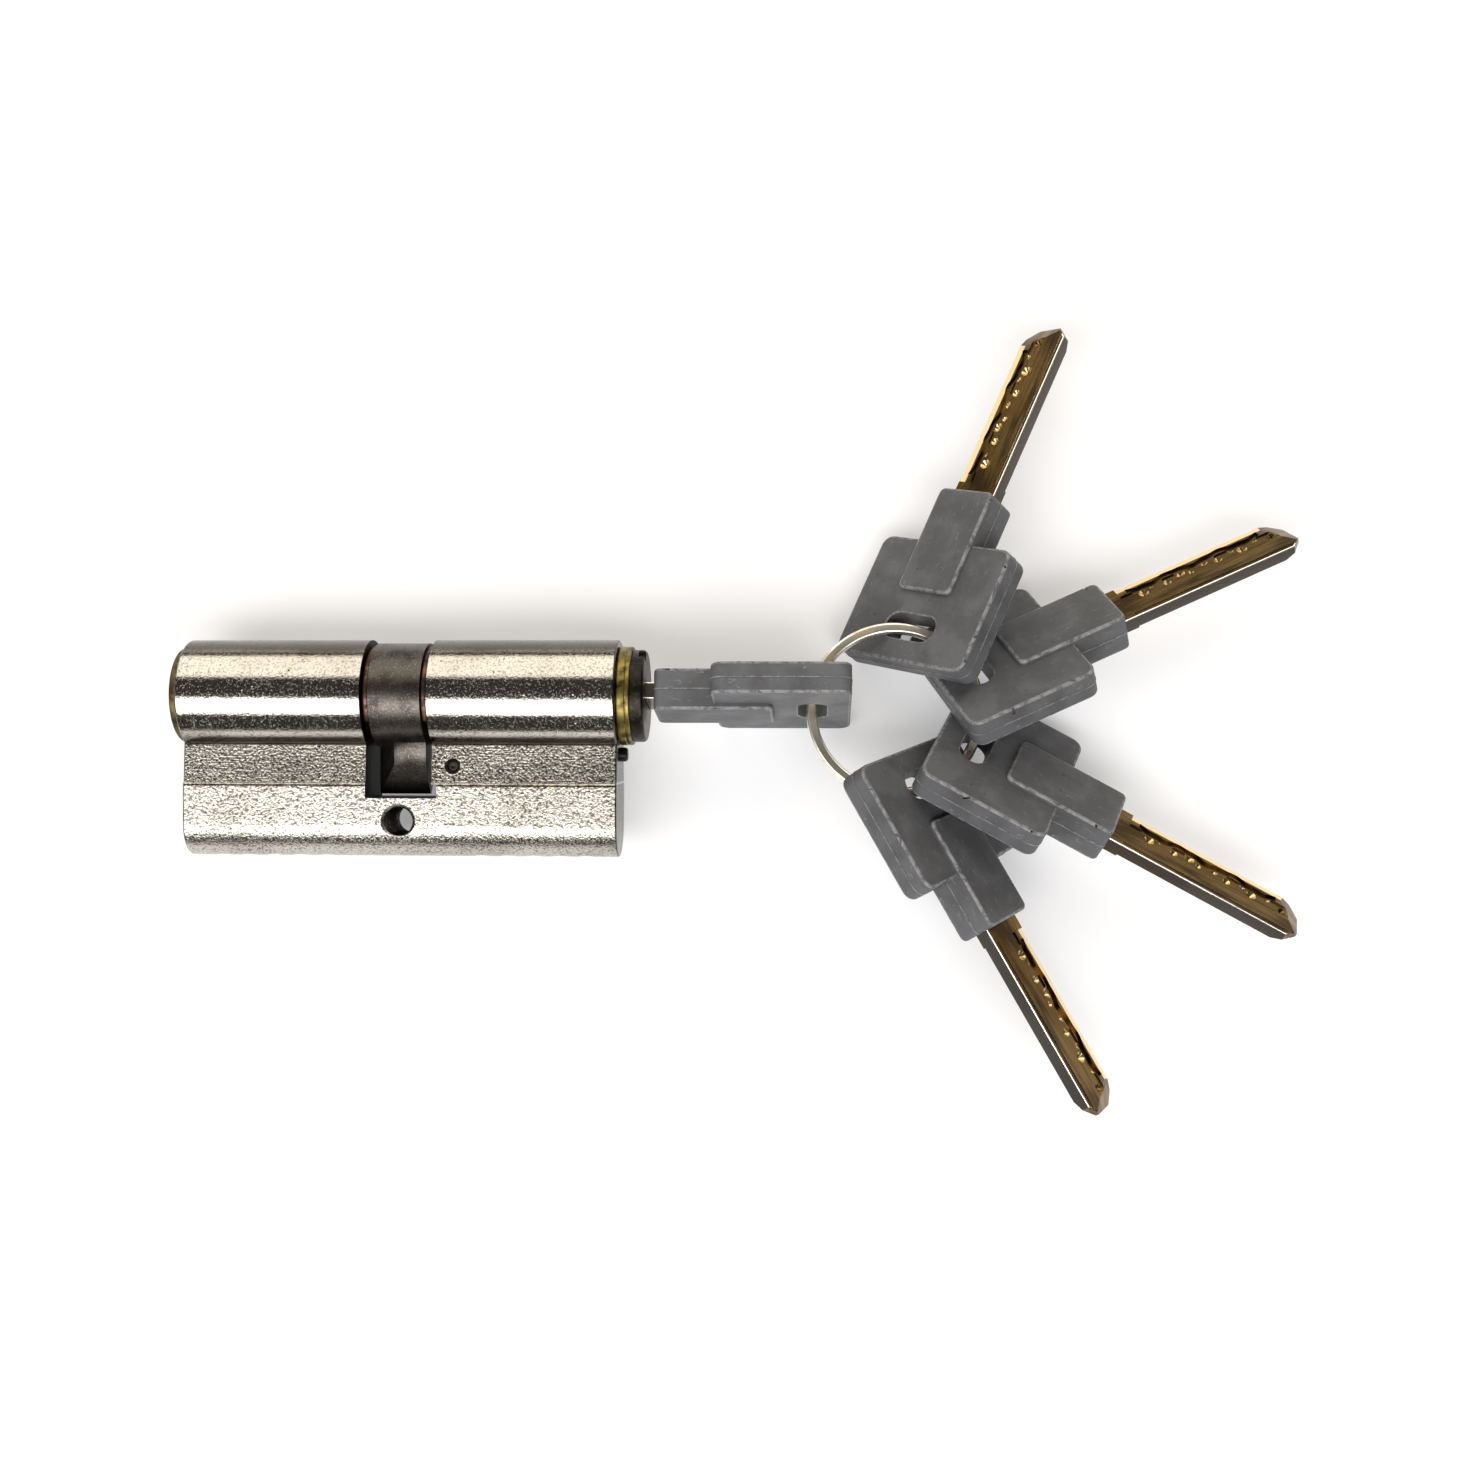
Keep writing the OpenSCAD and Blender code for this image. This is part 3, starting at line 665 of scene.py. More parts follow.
def profileLine(bm, x):      # one side of the profile, from the barrel's crown round to the foot
    s = bodySizes
    waistTurn = math.pi - math.asin(s["waistHalf"] / barrelRadius)
    footY = bodyLow.y + s["flangeHalf"]
    crown = bm.verts.new((x, axisY + barrelRadius, 0))
    arc = bmesh.ops.spin(bm, geom=[crown], axis=(1, 0, 0), cent=(x, axisY, 0), dvec=(0, 0, 0),
                         angle=waistTurn, steps=56, use_merge=False)
    last = vertsIn(arc["geom_last"])[0]
    stepZ = s["flangeHalf"] - s["bandStep"]
    upper, lower = s["lipDrops"]
    corners = [(s["bandTop"] + s["lipFrom"], stepZ),
               (s["bandTop"] + s["lipShoulder"], s["flangeHalf"] - upper),
               (s["bandTop"] - s["lipShoulder"], s["flangeHalf"] - lower),
               (s["bandTop"] - s["lipTo"], s["flangeHalf"]),
               (footY, s["flangeHalf"])]
    for y, z in corners:
        corner = bm.verts.new((x, y, z))
        bm.edges.new((last, corner))
        last = corner
    bmesh.ops.spin(bm, geom=[last], axis=(1, 0, 0), cent=(x, footY, 0), dvec=(0, 0, 0),
                   angle=math.pi / 2, steps=30, use_merge=False)


def threadCutter():
    s = bodySizes
    half = s["flangeHalf"]
    mouth = s["screwRadius"] + s["screwChamfer"]
    low, high = s["screwRadius"], s["screwRadius"] + s["threadDepth"]
    deep = half - s["screwChamfer"]
    turns = round(2 * deep / s["threadPitch"])
    profile = [(-half - overshoot, 0), (-half - overshoot, mouth), (-half, mouth)]
    for turn in range(2 * turns + 1):
        profile.append((-deep + deep * turn / turns, low if turn % 2 == 0 else high))
    profile += [(half, mouth), (half + overshoot, mouth), (half + overshoot, 0)]
    bm = turned(profile, 64)
    rotate(bm, math.pi / 2, "Y")
    return bm


def makeBody():
    s = bodySizes
    bm = bmesh.new()
    profileLine(bm, bodyLow.x)
    bmesh.ops.mirror(bm, geom=bm.verts[:] + bm.edges[:], matrix=Matrix.Identity(4), merge_dist=tiny, axis="Z")
    bmesh.ops.remove_doubles(bm, verts=bm.verts, dist=tiny)
    face = bmesh.ops.contextual_create(bm, geom=bm.edges)["faces"][0]
    thicken(bm, [face], (bodyHigh.x - bodyLow.x, 0, 0))
    ends = sharpEdges(bm, 60, lambda edge: abs(edge.verts[0].co.x - edge.verts[1].co.x) < tiny)
    roundEdges(bm, ends, s["endChamfer"], 3)

    floorY = axisY - s["slotDepth"]
    wide = barrelRadius + overshoot
    tall = axisY + barrelRadius + overshoot
    start, end = bodyLow.x - overshoot, bodyHigh.x + overshoot
    boolean(bm, rod((start, axisY, 0), (end, axisY, 0), s["boreRadius"], segments=96))
    boolean(bm, block((-s["slotHalf"], floorY, -wide), (s["slotHalf"], tall, wide)))
    boolean(bm, block((0, floorY, -wide), (s["slotHalf"] + s["slotRelief"], s["bandTop"], wide)))
    boolean(bm, threadCutter())
    for x in pinSpots:
        boolean(bm, rod((x, bodyLow.y - overshoot, 0), (x, axisY - s["boreRadius"] + overshoot, 0),
                        s["chamberRadius"], segments=32))
    sideLow, sideHigh = spanOf(cylinderPlace, "fixing_side_pin")
    sideSpot = (sideLow + sideHigh) / 2
    sideRadius = (sideHigh.x - sideLow.x) / 2 + fitGap
    boolean(bm, rod((sideSpot.x, sideSpot.y, -wide), (sideSpot.x, sideSpot.y, wide), sideRadius))
    pinLow, pinHigh = spanOf(cylinderPlace, "guard_pin")
    pinSpot = (pinLow + pinHigh) / 2
    boolean(bm, rod((pinLow.x, pinSpot.y, 0), (end, pinSpot.y, 0), (pinHigh.y - pinLow.y) / 2 + fitGap))
    roundEdges(bm, sharpEdges(bm, 55), s["edge"], 2)
    settle("cylinderBody", bm, cylinderPlace, nickel, "housing", "nickel_body", "cylinder_body")


makeBody()
print("cylinder body made")


# Small pins that show in the body

pinLook = {
    "sideDish": 0.35,
    "sideRim": 0.22,
    "dishSlope": 0.3,
    "pipRadius": 0.28,
    "pipFoot": 0.15,
    "pipRise": 0.06,
    "pipDeep": 0.25,
    "sideEdge": 0.06,
    "guardRound": 0.45,
}


def makeSidePin():
    low, high = spanOf(cylinderPlace, "fixing_side_pin")
    spot, radius, half = (low + high) / 2, (high.x - low.x) / 2, (high.z - low.z) / 2
    dish, rim, pip = pinLook["sideDish"], radius - pinLook["sideRim"], pinLook["pipRadius"]
    inner = half - dish
    profile = [(-inner, 0), (-half, rim), (-half, radius), (half, radius), (half, rim),
               (inner, rim - pinLook["dishSlope"]), (inner + pinLook["pipRise"], pip + pinLook["pipFoot"]),
               (inner - pinLook["pipDeep"], 0)]
    bm = turned(profile, 40)
    rotate(bm, -math.pi / 2, "Y")
    bmesh.ops.translate(bm, verts=bm.verts, vec=spot)
    roundEdges(bm, sharpEdges(bm, 50), pinLook["sideEdge"], 2)
    settle("sidePin", bm, cylinderPlace, blackSteel, "housing", "black_steel", "fixing_side_pin")


def makeGuardPin():
    low, high = spanOf(cylinderPlace, "guard_pin")
    spot, radius = (low + high) / 2, (high.y - low.y) / 2
    bm = rod((low.x, spot.y, spot.z), (high.x, spot.y, spot.z), radius, segments=40)
    roundEdges(bm, sharpEdges(bm, 60), pinLook["guardRound"], 4)
    settle("guardPin", bm, cylinderPlace, blackSteel, "housing", "black_steel", "guard_pin")


makeSidePin()
makeGuardPin()


# Plugs

plugSizes = {
    "tailRadius": 5.5,
    "grooveRadius": 5.0,
    "grooveIn": 4.0,
    "grooveOut": 4.8,
    "slotHalf": 5.0,
    "plugRadius": 6.5,
    "guideSink": 0.8,
    "guideSeat": 5.8,
    "lineDepth": 0.09,       # turned line round the collar
    "lineAt": 0.62,          # as a share of the collar's thickness
    "lineHalf": 0.14,
    "edge": 0.22,
    "rimBand": 0.05,         # edges this close to the collar's radius are rounded
    "dishShare": 0.55,       # dished centre of the far plug's face, as shares of its radius
    "dishFloorShare": 0.52,
    "dishDeep": 0.08,
    "faceGap": 0.1,          # between the body's end and a plug's collar
    "stemRadius": 2.1,
    "keyTip": 7.5,           # where the keyway ends, from the cam's centre
    "keywayHalfThick": 1.37,
    "keywayHalfWide": 4.12,
    "pinRadius": 1.45,
    "pinNeck": 1.1,
    "neckFrom": 2.6,
    "driveHalf": 1.5,        # half width of the slot for the clutch bar
    "driveTo": 4.1,
}


def plugProfile(half, faceOut, faceRadius, lined):
    s = plugSizes
    line = half + (faceOut - half) * s["lineAt"]
    rim = [(half, faceRadius)]
    if lined:
        rim += [(line - s["lineHalf"], faceRadius), (line, faceRadius - s["lineDepth"]),
                (line + s["lineHalf"], faceRadius)]
    return [(tailIn, 0), (tailIn, s["tailRadius"]), (s["grooveIn"], s["tailRadius"]),
            (s["grooveIn"], s["grooveRadius"]), (s["grooveOut"], s["grooveRadius"]),
            (s["grooveOut"], s["tailRadius"]), (s["slotHalf"], s["tailRadius"]),
            (s["slotHalf"], s["plugRadius"]), (half, s["plugRadius"]), *rim, (faceOut, faceRadius)]


def cutPlug(bm, keyway, turn, side):              # the bores that both plugs have
    s = plugSizes
    rotate(bm, -turn, "X")
    boolean(bm, keyway)
    for x in pinSpots:
        if x * side > 0:
            shoulder, mouth = (x, -s["neckFrom"], 0), (x, -s["plugRadius"] - overshoot, 0)
            boolean(bm, rod(shoulder, mouth, s["pinRadius"], segments=32))
            boolean(bm, rod((x, 0, 0), (x, -s["neckFrom"] - tiny, 0), s["pinNeck"], segments=24))
    rotate(bm, turn, "X")
    boolean(bm, rod((side * (tailIn - overshoot), 0, 0), (side * s["keyTip"], 0, 0), s["stemRadius"]))
    drive = sorted((side * (tailIn - overshoot), side * s["driveTo"]))
    wide = s["tailRadius"] + overshoot
    boolean(bm, block((drive[0], -wide, -s["driveHalf"]), (drive[1], wide, s["driveHalf"])))


outerLow, outerHigh = spanOf(axisPlace, "outer_plug")
innerLow, innerHigh = spanOf(axisPlace, "inner_plug")
guideLow, guideHigh = spanOf(axisPlace, "key_guide")
tailIn = outerLow.x
keyInPlug = axisPlace.inverted() @ keyPlaces[5]
keyDirection = keyInPlug.to_3x3() @ Vector((0, 0, 1))
keyTurn = math.atan2(keyDirection.z, keyDirection.y)          # about the plug axis, from the pins' line
keyTurn = (keyTurn + math.pi / 2) % math.pi - math.pi / 2


def keywayTool(start, end):
    s = plugSizes
    low, high = sorted((start, end))
    thick, wide = s["keywayHalfThick"], s["keywayHalfWide"]
    return block((low, -thick, -wide), (high, thick, wide))


def roundCollar(bm, radius):
    s = plugSizes
    near = radius - s["rimBand"]
    rims = sharpEdges(bm, 50, lambda edge: min(vert.co.yz.length for vert in edge.verts) > near)
    roundEdges(bm, rims, s["edge"], 3)


def makeOuterPlug():
    s = plugSizes
    seat = outerHigh.x - s["guideSink"]
    profile = plugProfile(bodyHigh.x + s["faceGap"], outerHigh.x, outerHigh.y, True)
    profile += [(outerHigh.x, s["guideSeat"]), (seat, s["guideSeat"]), (seat, 0)]
    bm = turned(profile)
    cutPlug(bm, keywayTool(s["keyTip"], outerHigh.x + overshoot), keyTurn, 1)
    roundCollar(bm, outerHigh.y)
    settle("keyedPlug", bm, axisPlace, brass, "keyed_plug", "brass_plug", "outer_plug")


def makeInnerPlug():
    s = plugSizes
    face = -innerLow.x
    floor = face - s["dishDeep"]
    profile = plugProfile(-bodyLow.x + s["faceGap"], face, innerHigh.y, False)
    profile += [(face, innerHigh.y * s["dishShare"]), (floor, innerHigh.y * s["dishFloorShare"]), (floor, 0)]
    bm = turned([(-x, r) for x, r in profile])
    cutPlug(bm, keywayTool(-s["keyTip"], innerLow.x - overshoot), 0.0, -1)
    roundCollar(bm, innerHigh.y)
    # painted shade: the far plug takes the darker copy of the brass
    settle("farPlug", bm, axisPlace, shadedBrass, "housing", "brass_plug", "inner_plug")


guideLook = {"edge": 0.55, "fineEdge": 0.1, "scoopRadius": 1.3, "scoopTurn": 35.0}


def makeKeyGuide():
    s = plugSizes
    radius, seat = guideHigh.y, s["guideSeat"] - fitGap
    profile = [(guideLow.x, 0), (guideLow.x, seat), (outerHigh.x, seat), (outerHigh.x, radius),
               (guideHigh.x, radius), (guideHigh.x, 0)]
    bm = turned(profile)
    outerRim = sharpEdges(bm, 50, lambda edge: min(vert.co.x for vert in edge.verts) > guideHigh.x - tiny)
    roundEdges(bm, outerRim, guideLook["edge"], 4)
    rotate(bm, -keyTurn, "X")
    boolean(bm, keywayTool(guideLow.x - overshoot, guideHigh.x + overshoot))
    turn = math.radians(guideLook["scoopTurn"])
    spot = Vector((0, radius * math.cos(turn), radius * math.sin(turn)))
    scoopIn = (outerHigh.x + guideHigh.x) / 2
    boolean(bm, rod(spot + Vector((scoopIn, 0, 0)), spot + Vector((guideHigh.x + overshoot, 0, 0)),
                    guideLook["scoopRadius"], segments=32))
    rotate(bm, keyTurn, "X")
    roundEdges(bm, sharpEdges(bm, 55), guideLook["fineEdge"], 2)
    settle("keyGuide", bm, axisPlace, blackSteel, "keyed_plug", "black_steel", "key_guide")


makeOuterPlug()
makeInnerPlug()
makeKeyGuide()
print("plugs made")


# Cam and its clips

camSizes = {
    "ringRadius": 8.0,
    "noseHalf": 3.6,
    "bore": 4.5,
    "tailBore": 5.55,
    "tailLap": 0.05,
    "edge": 0.4,
    "fineEdge": 0.08,
    "driveHalf": 1.5,
    "driveWide": 5.2,
    "noseFall": 10.5,        # the nose's faces fall away beyond this radius
    "noseSlope": 37.0,
    "cheekFrom": -0.9,       # and from here towards the far plug
    "cheekSlope": 48.0,
}


def makeCam():
    s = camSizes
    low, high = spanOf(axisPlace, "cam")
    reach = -low.y
    swing = math.asin(s["noseHalf"] / reach)
    bm = bmesh.new()
    tip = bm.verts.new((low.x, -reach * math.cos(swing), -reach * math.sin(swing)))
    heel = bm.verts.new((low.x, 0, -s["noseHalf"]))
    bm.edges.new((heel, tip))
    arc = bmesh.ops.spin(bm, geom=[tip], axis=(1, 0, 0), cent=(low.x, 0, 0), dvec=(0, 0, 0),
                         angle=-2 * swing, steps=12, use_merge=False)
    last = vertsIn(arc["geom_last"])[0]
    farHeel = bm.verts.new((low.x, 0, s["noseHalf"]))
    bm.edges.new((last, farHeel))
    bm.edges.new((farHeel, heel))
    face = bmesh.ops.contextual_create(bm, geom=bm.edges)["faces"][0]
    thicken(bm, [face], (high.x - low.x, 0, 0))
    for facing in (1, -1):
        for place, heading, slope in [((0, -s["noseFall"], s["noseHalf"]), -90, s["noseSlope"]),
                                      ((s["cheekFrom"], -reach, s["noseHalf"]), 180, s["cheekSlope"])]:
            tool = ramp(place, heading, slope, reach)
            if facing < 0:
                bmesh.ops.scale(tool, verts=tool.verts, vec=(1, 1, -1))
                bmesh.ops.reverse_faces(tool, faces=tool.faces)
            boolean(bm, tool)
    boolean(bm, rod((low.x, 0, 0), (high.x, 0, 0), s["ringRadius"], segments=96), "UNION")
    roundEdges(bm, sharpEdges(bm, 25, lambda edge: edge.calc_length() > 1), s["edge"], 3)
    boolean(bm, rod((low.x - overshoot, 0, 0), (high.x + overshoot, 0, 0), s["bore"], segments=64))
    for side in (-1, 1):
        start, end = (side * (tailIn - s["tailLap"]), 0, 0), (side * (high.x + overshoot), 0, 0)
        boolean(bm, rod(start, end, s["tailBore"], segments=64))
    boolean(bm, block((-tailIn, -s["driveWide"], -s["driveHalf"]), (tailIn, s["driveWide"], s["driveHalf"])))
    roundEdges(bm, sharpEdges(bm, 60), s["fineEdge"], 1)
    settle("cam", bm, axisPlace, sinter, "cam_unit", "sintered_cam", "cam")


clipSizes = {"innerRadius": 5.05, "mouth": 7.2, "turn": 150.0, "edge": 0.14}


def makeClip(name, node, body):
    s = clipSizes
    low, high = spanOf(axisPlace, node)
    radius = max(high.y, -low.y)
    ring = [(low.x, s["innerRadius"]), (low.x, radius), (high.x, radius), (high.x, s["innerRadius"]),
            (low.x, s["innerRadius"])]
    bm = turned(ring)
    half = s["mouth"] / 2
    boolean(bm, block((low.x - overshoot, 0, -half), (high.x + overshoot, radius + overshoot, half)))
    roundEdges(bm, sharpEdges(bm, 50), s["edge"], 2)
    rotate(bm, math.radians(s["turn"]), "X")
    settle(name, bm, axisPlace, copper, body, "copper_clip", node)


makeCam()
makeClip("keyedClip", "outer_clip", "keyed_plug")
makeClip("farClip", "inner_clip", "housing")
print("cam and clips made")


# Split ring

ringSizes = {
    "wireWide": 1.6,
    "wireThick": 0.9,
    "coilGap": 0.06,
    "climb": 40.0,           # degrees over which the wire climbs from coil to coil
    "endGap": 22.0,          # each end stops this far from the climb's middle
    "turn": -8.0,            # where the climb lies
    "stepDegrees": 3.0,
    "climbSteps": 14,
    "corner": 0.4,
    "endEdge": 0.12,
}


def makeRing():
    s = ringSizes
    radius = spanOf(ringPlace, "split_ring")[1].x - s["wireWide"] / 2
    rise = s["wireThick"] + s["coilGap"]
    bm = bmesh.new()
    bmesh.ops.create_grid(bm, x_segments=1, y_segments=1, size=0.5)
    bmesh.ops.scale(bm, verts=bm.verts, vec=(s["wireWide"], s["wireThick"], 1))
    bmesh.ops.bevel(bm, geom=bm.verts[:], offset=s["corner"], offset_type="OFFSET", segments=4, profile=0.5,
                    affect="VERTICES", material=-1)
    rotate(bm, math.pi / 2, "X")
    bmesh.ops.translate(bm, verts=bm.verts, vec=(radius, 0, -rise / 2))
    rotate(bm, math.radians(s["turn"] + s["endGap"]), "Z")
    rim = bm.verts[:] + bm.edges[:]
    flat = 360 - s["climb"] / 2 - s["endGap"]     # degrees of each level coil

    def sweep(rim, degrees, lift):
        steps = max(1, round(degrees / s["stepDegrees"]))
        spun = bmesh.ops.spin(bm, geom=rim, axis=(0, 0, 1), cent=(0, 0, 0), dvec=(0, 0, lift / steps),
                              angle=math.radians(degrees), steps=steps, use_merge=False)
        return spun["geom_last"]

    rim = sweep(rim, flat, 0)
    climbs = s["climbSteps"]
    for step in range(climbs):
        share = [(1 - math.cos(math.pi * (step + end) / climbs)) / 2 for end in (0, 1)]
        rim = sweep(rim, s["climb"] / climbs, rise * (share[1] - share[0]))
    rim = sweep(rim, flat, 0)
    bmesh.ops.contextual_create(bm, geom=[item for item in rim if isinstance(item, bmesh.types.BMEdge)])
    bmesh.ops.recalc_face_normals(bm, faces=bm.faces)
    roundEdges(bm, sharpEdges(bm, 60), s["endEdge"], 3)
    settle("splitRing", bm, ringPlace, ringSteel, "key_ring", "ring_steel", "split_ring")


makeRing()
print("split ring made")


# Keys

bladeSizes = {
    "edge": 0.2,
    "nose": 1.7,
    "noseRun": 4.4,          # how far back the ramp at the tip starts, along one edge
    "noseSlope": 26.0,
    "landWide": 1.4,         # sloping land along one edge of each face
    "landSlope": 19.0,
    "landReach": 20,         # half length of the cutters for the land and the nose
    "noseReach": 8,
    "shankLong": 8.0,
    "shankHalf": 3.25,
    "cutsFrom": 2.2,         # from the neck
    "channelLow": -0.35,     # channel that holds the dimples, across the blade
    "channelHigh": 1.6,
    "channelDeep": 0.22,
    "channelEnd": 2,         # from the tip
    "lineAt": -3.4,
    "lineWide": 0.28,
    "lineDeep": 0.16,
    "trackFrom": 3.6,        # wavy track beside the land, from the neck
    "trackAt": 1.95,
    "trackHalf": 0.5,
    "trackDeep": 0.42,
    "trackSwing": 0.34,
    "trackWave": 8.2,
    "trackRipple": 0.4,      # a finer wave, as a share of the broad one's height and length
    "trackSteps": 40,
    "dimpleAt": 0.85,
    "dimpleFrom": 5.4,
    "dimplePitch": 2.2,
    "dimpleStray": 0.32,     # the dimples are not evenly spaced
    "dimpleTop": 1.2,
    "dimpleTip": 0.12,
    "dimpleDeep": 0.34,
    "dimpleStep": 0.15,
    "dimpleOver": 0.2,       # the cutter's reach above the face
    "dimpleOff": 0.35,       # every other dimple lies this far to the side
}
dimpleCodes = [3, 1, 2, 3, 1, 2, 2, 1, 3, 1, 2, 3]


def trackTool(start, end, faceZ):                 # a wavy ribbon that mills the track into one face
    s = bladeSizes
    bm = bmesh.new()
    bmesh.ops.create_grid(bm, x_segments=s["trackSteps"], y_segments=1, size=0.5)
    for vert in bm.verts:
        x = start + (end - start) * (vert.co.x + 0.5)
        broad = math.sin(x * 2 * math.pi / s["trackWave"])
        fine = math.sin(x * 2 * math.pi / (s["trackWave"] * s["trackRipple"]))
        middle = s["trackAt"] + s["trackSwing"] * (broad + s["trackRipple"] * fine)
        vert.co = (x, middle + 2 * s["trackHalf"] * vert.co.y, faceZ - s["trackDeep"])
    thicken(bm, bm.faces[:], (0, 0, s["trackDeep"] + overshoot))
    return bm


def dimpleTool(x, y, deep, faceZ):
    s = bladeSizes
    reach = deep + s["dimpleOver"]
    return rod((x, y, faceZ - deep), (x, y, faceZ + s["dimpleOver"]), s["dimpleTip"],
               s["dimpleTip"] + s["dimpleTop"] * reach, segments=12)


def bladeShape(low, high):
    s = bladeSizes
    neck = low.x + s["shankLong"]
    bm = block((neck, low.y, low.z), high)
    corners = [edge for edge in edgesAlong(bm, (0, 0, 1)) if edge.verts[0].co.x > neck + tiny]
    roundEdges(bm, corners, s["nose"], 1)
    roundEdges(bm, sharpEdges(bm, 30, lambda edge: abs(edge.verts[0].co.z - edge.verts[1].co.z) < tiny
                              and edge.verts[0].co.x + edge.verts[1].co.x > 2 * neck + 1), s["edge"], 2)
    runMiddle = (high.x - s["noseRun"] / 2, 0, high.z)
    runHeading = math.degrees(math.atan2(s["noseRun"], 2 * high.y))
    for flip in (0, math.pi):                     # both faces are cut alike, half a turn apart
        start = neck + s["cutsFrom"]
        landMiddle = (start + s["landReach"], high.y - s["landWide"], high.z)
        tools = [ramp(landMiddle, 90, s["landSlope"], s["landReach"]),
                 ramp(runMiddle, runHeading, s["noseSlope"], s["noseReach"]),
                 block((start, s["channelLow"], high.z - s["channelDeep"]),
                       (high.x - s["channelEnd"], s["channelHigh"], high.z + overshoot)),
                 block((start, s["lineAt"], high.z - s["lineDeep"]),
                       (high.x + overshoot, s["lineAt"] + s["lineWide"], high.z + overshoot)),
                 trackTool(neck + s["trackFrom"], high.x - s["noseRun"], high.z)]
        first = neck + s["dimpleFrom"]
        for index in range(int((high.x - s["nose"] - first) / s["dimplePitch"]) + 1):
            deep = s["dimpleDeep"] + s["dimpleStep"] * dimpleCodes[index % len(dimpleCodes)]
            side = s["dimpleOff"] * (1 if index % 2 else -1)
            along = first + index * s["dimplePitch"] + s["dimpleStray"] * (dimpleCodes[index % 7] - 2)
            tools.append(dimpleTool(along, s["dimpleAt"] + side, deep, high.z))
        for tool in tools:
            rotate(tool, flip, "X")
            boolean(bm, tool)
    boolean(bm, block((low.x, -s["shankHalf"], low.z), (neck + tiny, s["shankHalf"], high.z)), "UNION")
    marks = {name: bm.faces.layers.float.new(name) for name in ("wall", "rim", "highlightStrip")}
    slope = math.cos(math.radians(s["landSlope"]))
    upright, level = 0.2, 0.9                     # limits of a face normal's Z
    for face in bm.faces:
        centre, normal = face.calc_center_median(), face.normal
        atEdge = abs(centre.y) > high.y - s["edge"] - 0.02 or centre.x > high.x - s["edge"] - 0.02
        # painted shade on the side walls
        face[marks["wall"]] = 1.0 if atEdge and abs(normal.z) < upright else 0.0
        # painted highlight on the edge bevels; the shank takes the same colour
        face[marks["rim"]] = 1.0 if atEdge and upright < abs(normal.z) < level or centre.x < neck else 0.0
        # painted highlight on the sloping land, and a little weaker on the sloped flanks of the cuts
        onLand = abs(abs(normal.z) - slope) < 0.03 and abs(normal.x) < 0.05 and abs(centre.y) > 2
        sloped = upright < abs(normal.z) < level
        onFlank = sloped and abs(centre.y) < 2.2 and centre.x < high.x - s["noseRun"]
        face[marks["highlightStrip"]] = 1.0 if onLand else 0.8 if onFlank else 0.0
        # painted highlight on the engraved line and the flat strip beyond it
        if centre.y * normal.z < s["lineAt"] + s["lineWide"] + 0.01 and abs(normal.z) > level:
            face[marks["rim"]] = 1.0
    return bm


headLook = {
    "nicks": 15,
    "nickDeep": 0.3,
    "nickTip": 0.05,
    "nickLong": 1.1,
    "dents": 8,
    "dentRadius": 0.55,
    "neckSpread": 4.5,       # how far from the middle the dents lie
    "plateSpread": 11,
}


def nickHead(bm, low, high, number):              # small cuts along the edges, no two heads alike
    chance = random.Random(number)
    plateHalf = headSizes["plateThick"] / 2
    plateEnd = low.x + headSizes["plateLong"]
    for index in range(headLook["nicks"]):
        side = chance.choice((-1, 1))
        face = chance.choice((-1, 1))
        spot = Vector((chance.uniform(low.x + 2, plateEnd - 2), side * high.y, face * plateHalf))
        if index % 3 == 2:
            x = chance.uniform(plateEnd + 1, high.x - 1)
            spot = Vector((x, side * headSizes["neckWide"] / 2, face * high.z))
        along = Vector((chance.uniform(-1, 1), chance.uniform(-0.6, 0.6), chance.uniform(-0.8, 0.8)))
        reach = along.normalized() * headLook["nickLong"] * chance.uniform(0.5, 1.2)
        inward = Vector((0, -side, -face)) * headSizes["rim"] * 0.22
        start, end = spot + inward - reach, spot + inward + reach
        boolean(bm, rod(start, end, headLook["nickDeep"], headLook["nickTip"], segments=6))
    for index in range(headLook["dents"]):
        x, y = chance.uniform(3, high.x - 2), chance.uniform(-1, 1) * headLook["neckSpread"]
        spot = Vector((x, y, high.z + headLook["dentRadius"] * 0.72))
        if index % 2:
            x, y = chance.uniform(-4, 5), chance.uniform(-1, 1) * headLook["plateSpread"]
            spot = Vector((x, y, plateHalf + headLook["dentRadius"] * 0.7))
        tip = Vector((chance.uniform(-1.5, 1.5), chance.uniform(-1.5, 1.5), 0.12))
        boolean(bm, rod(spot, spot + tip, headLook["dentRadius"], headLook["dentRadius"] * 0.5, segments=8))


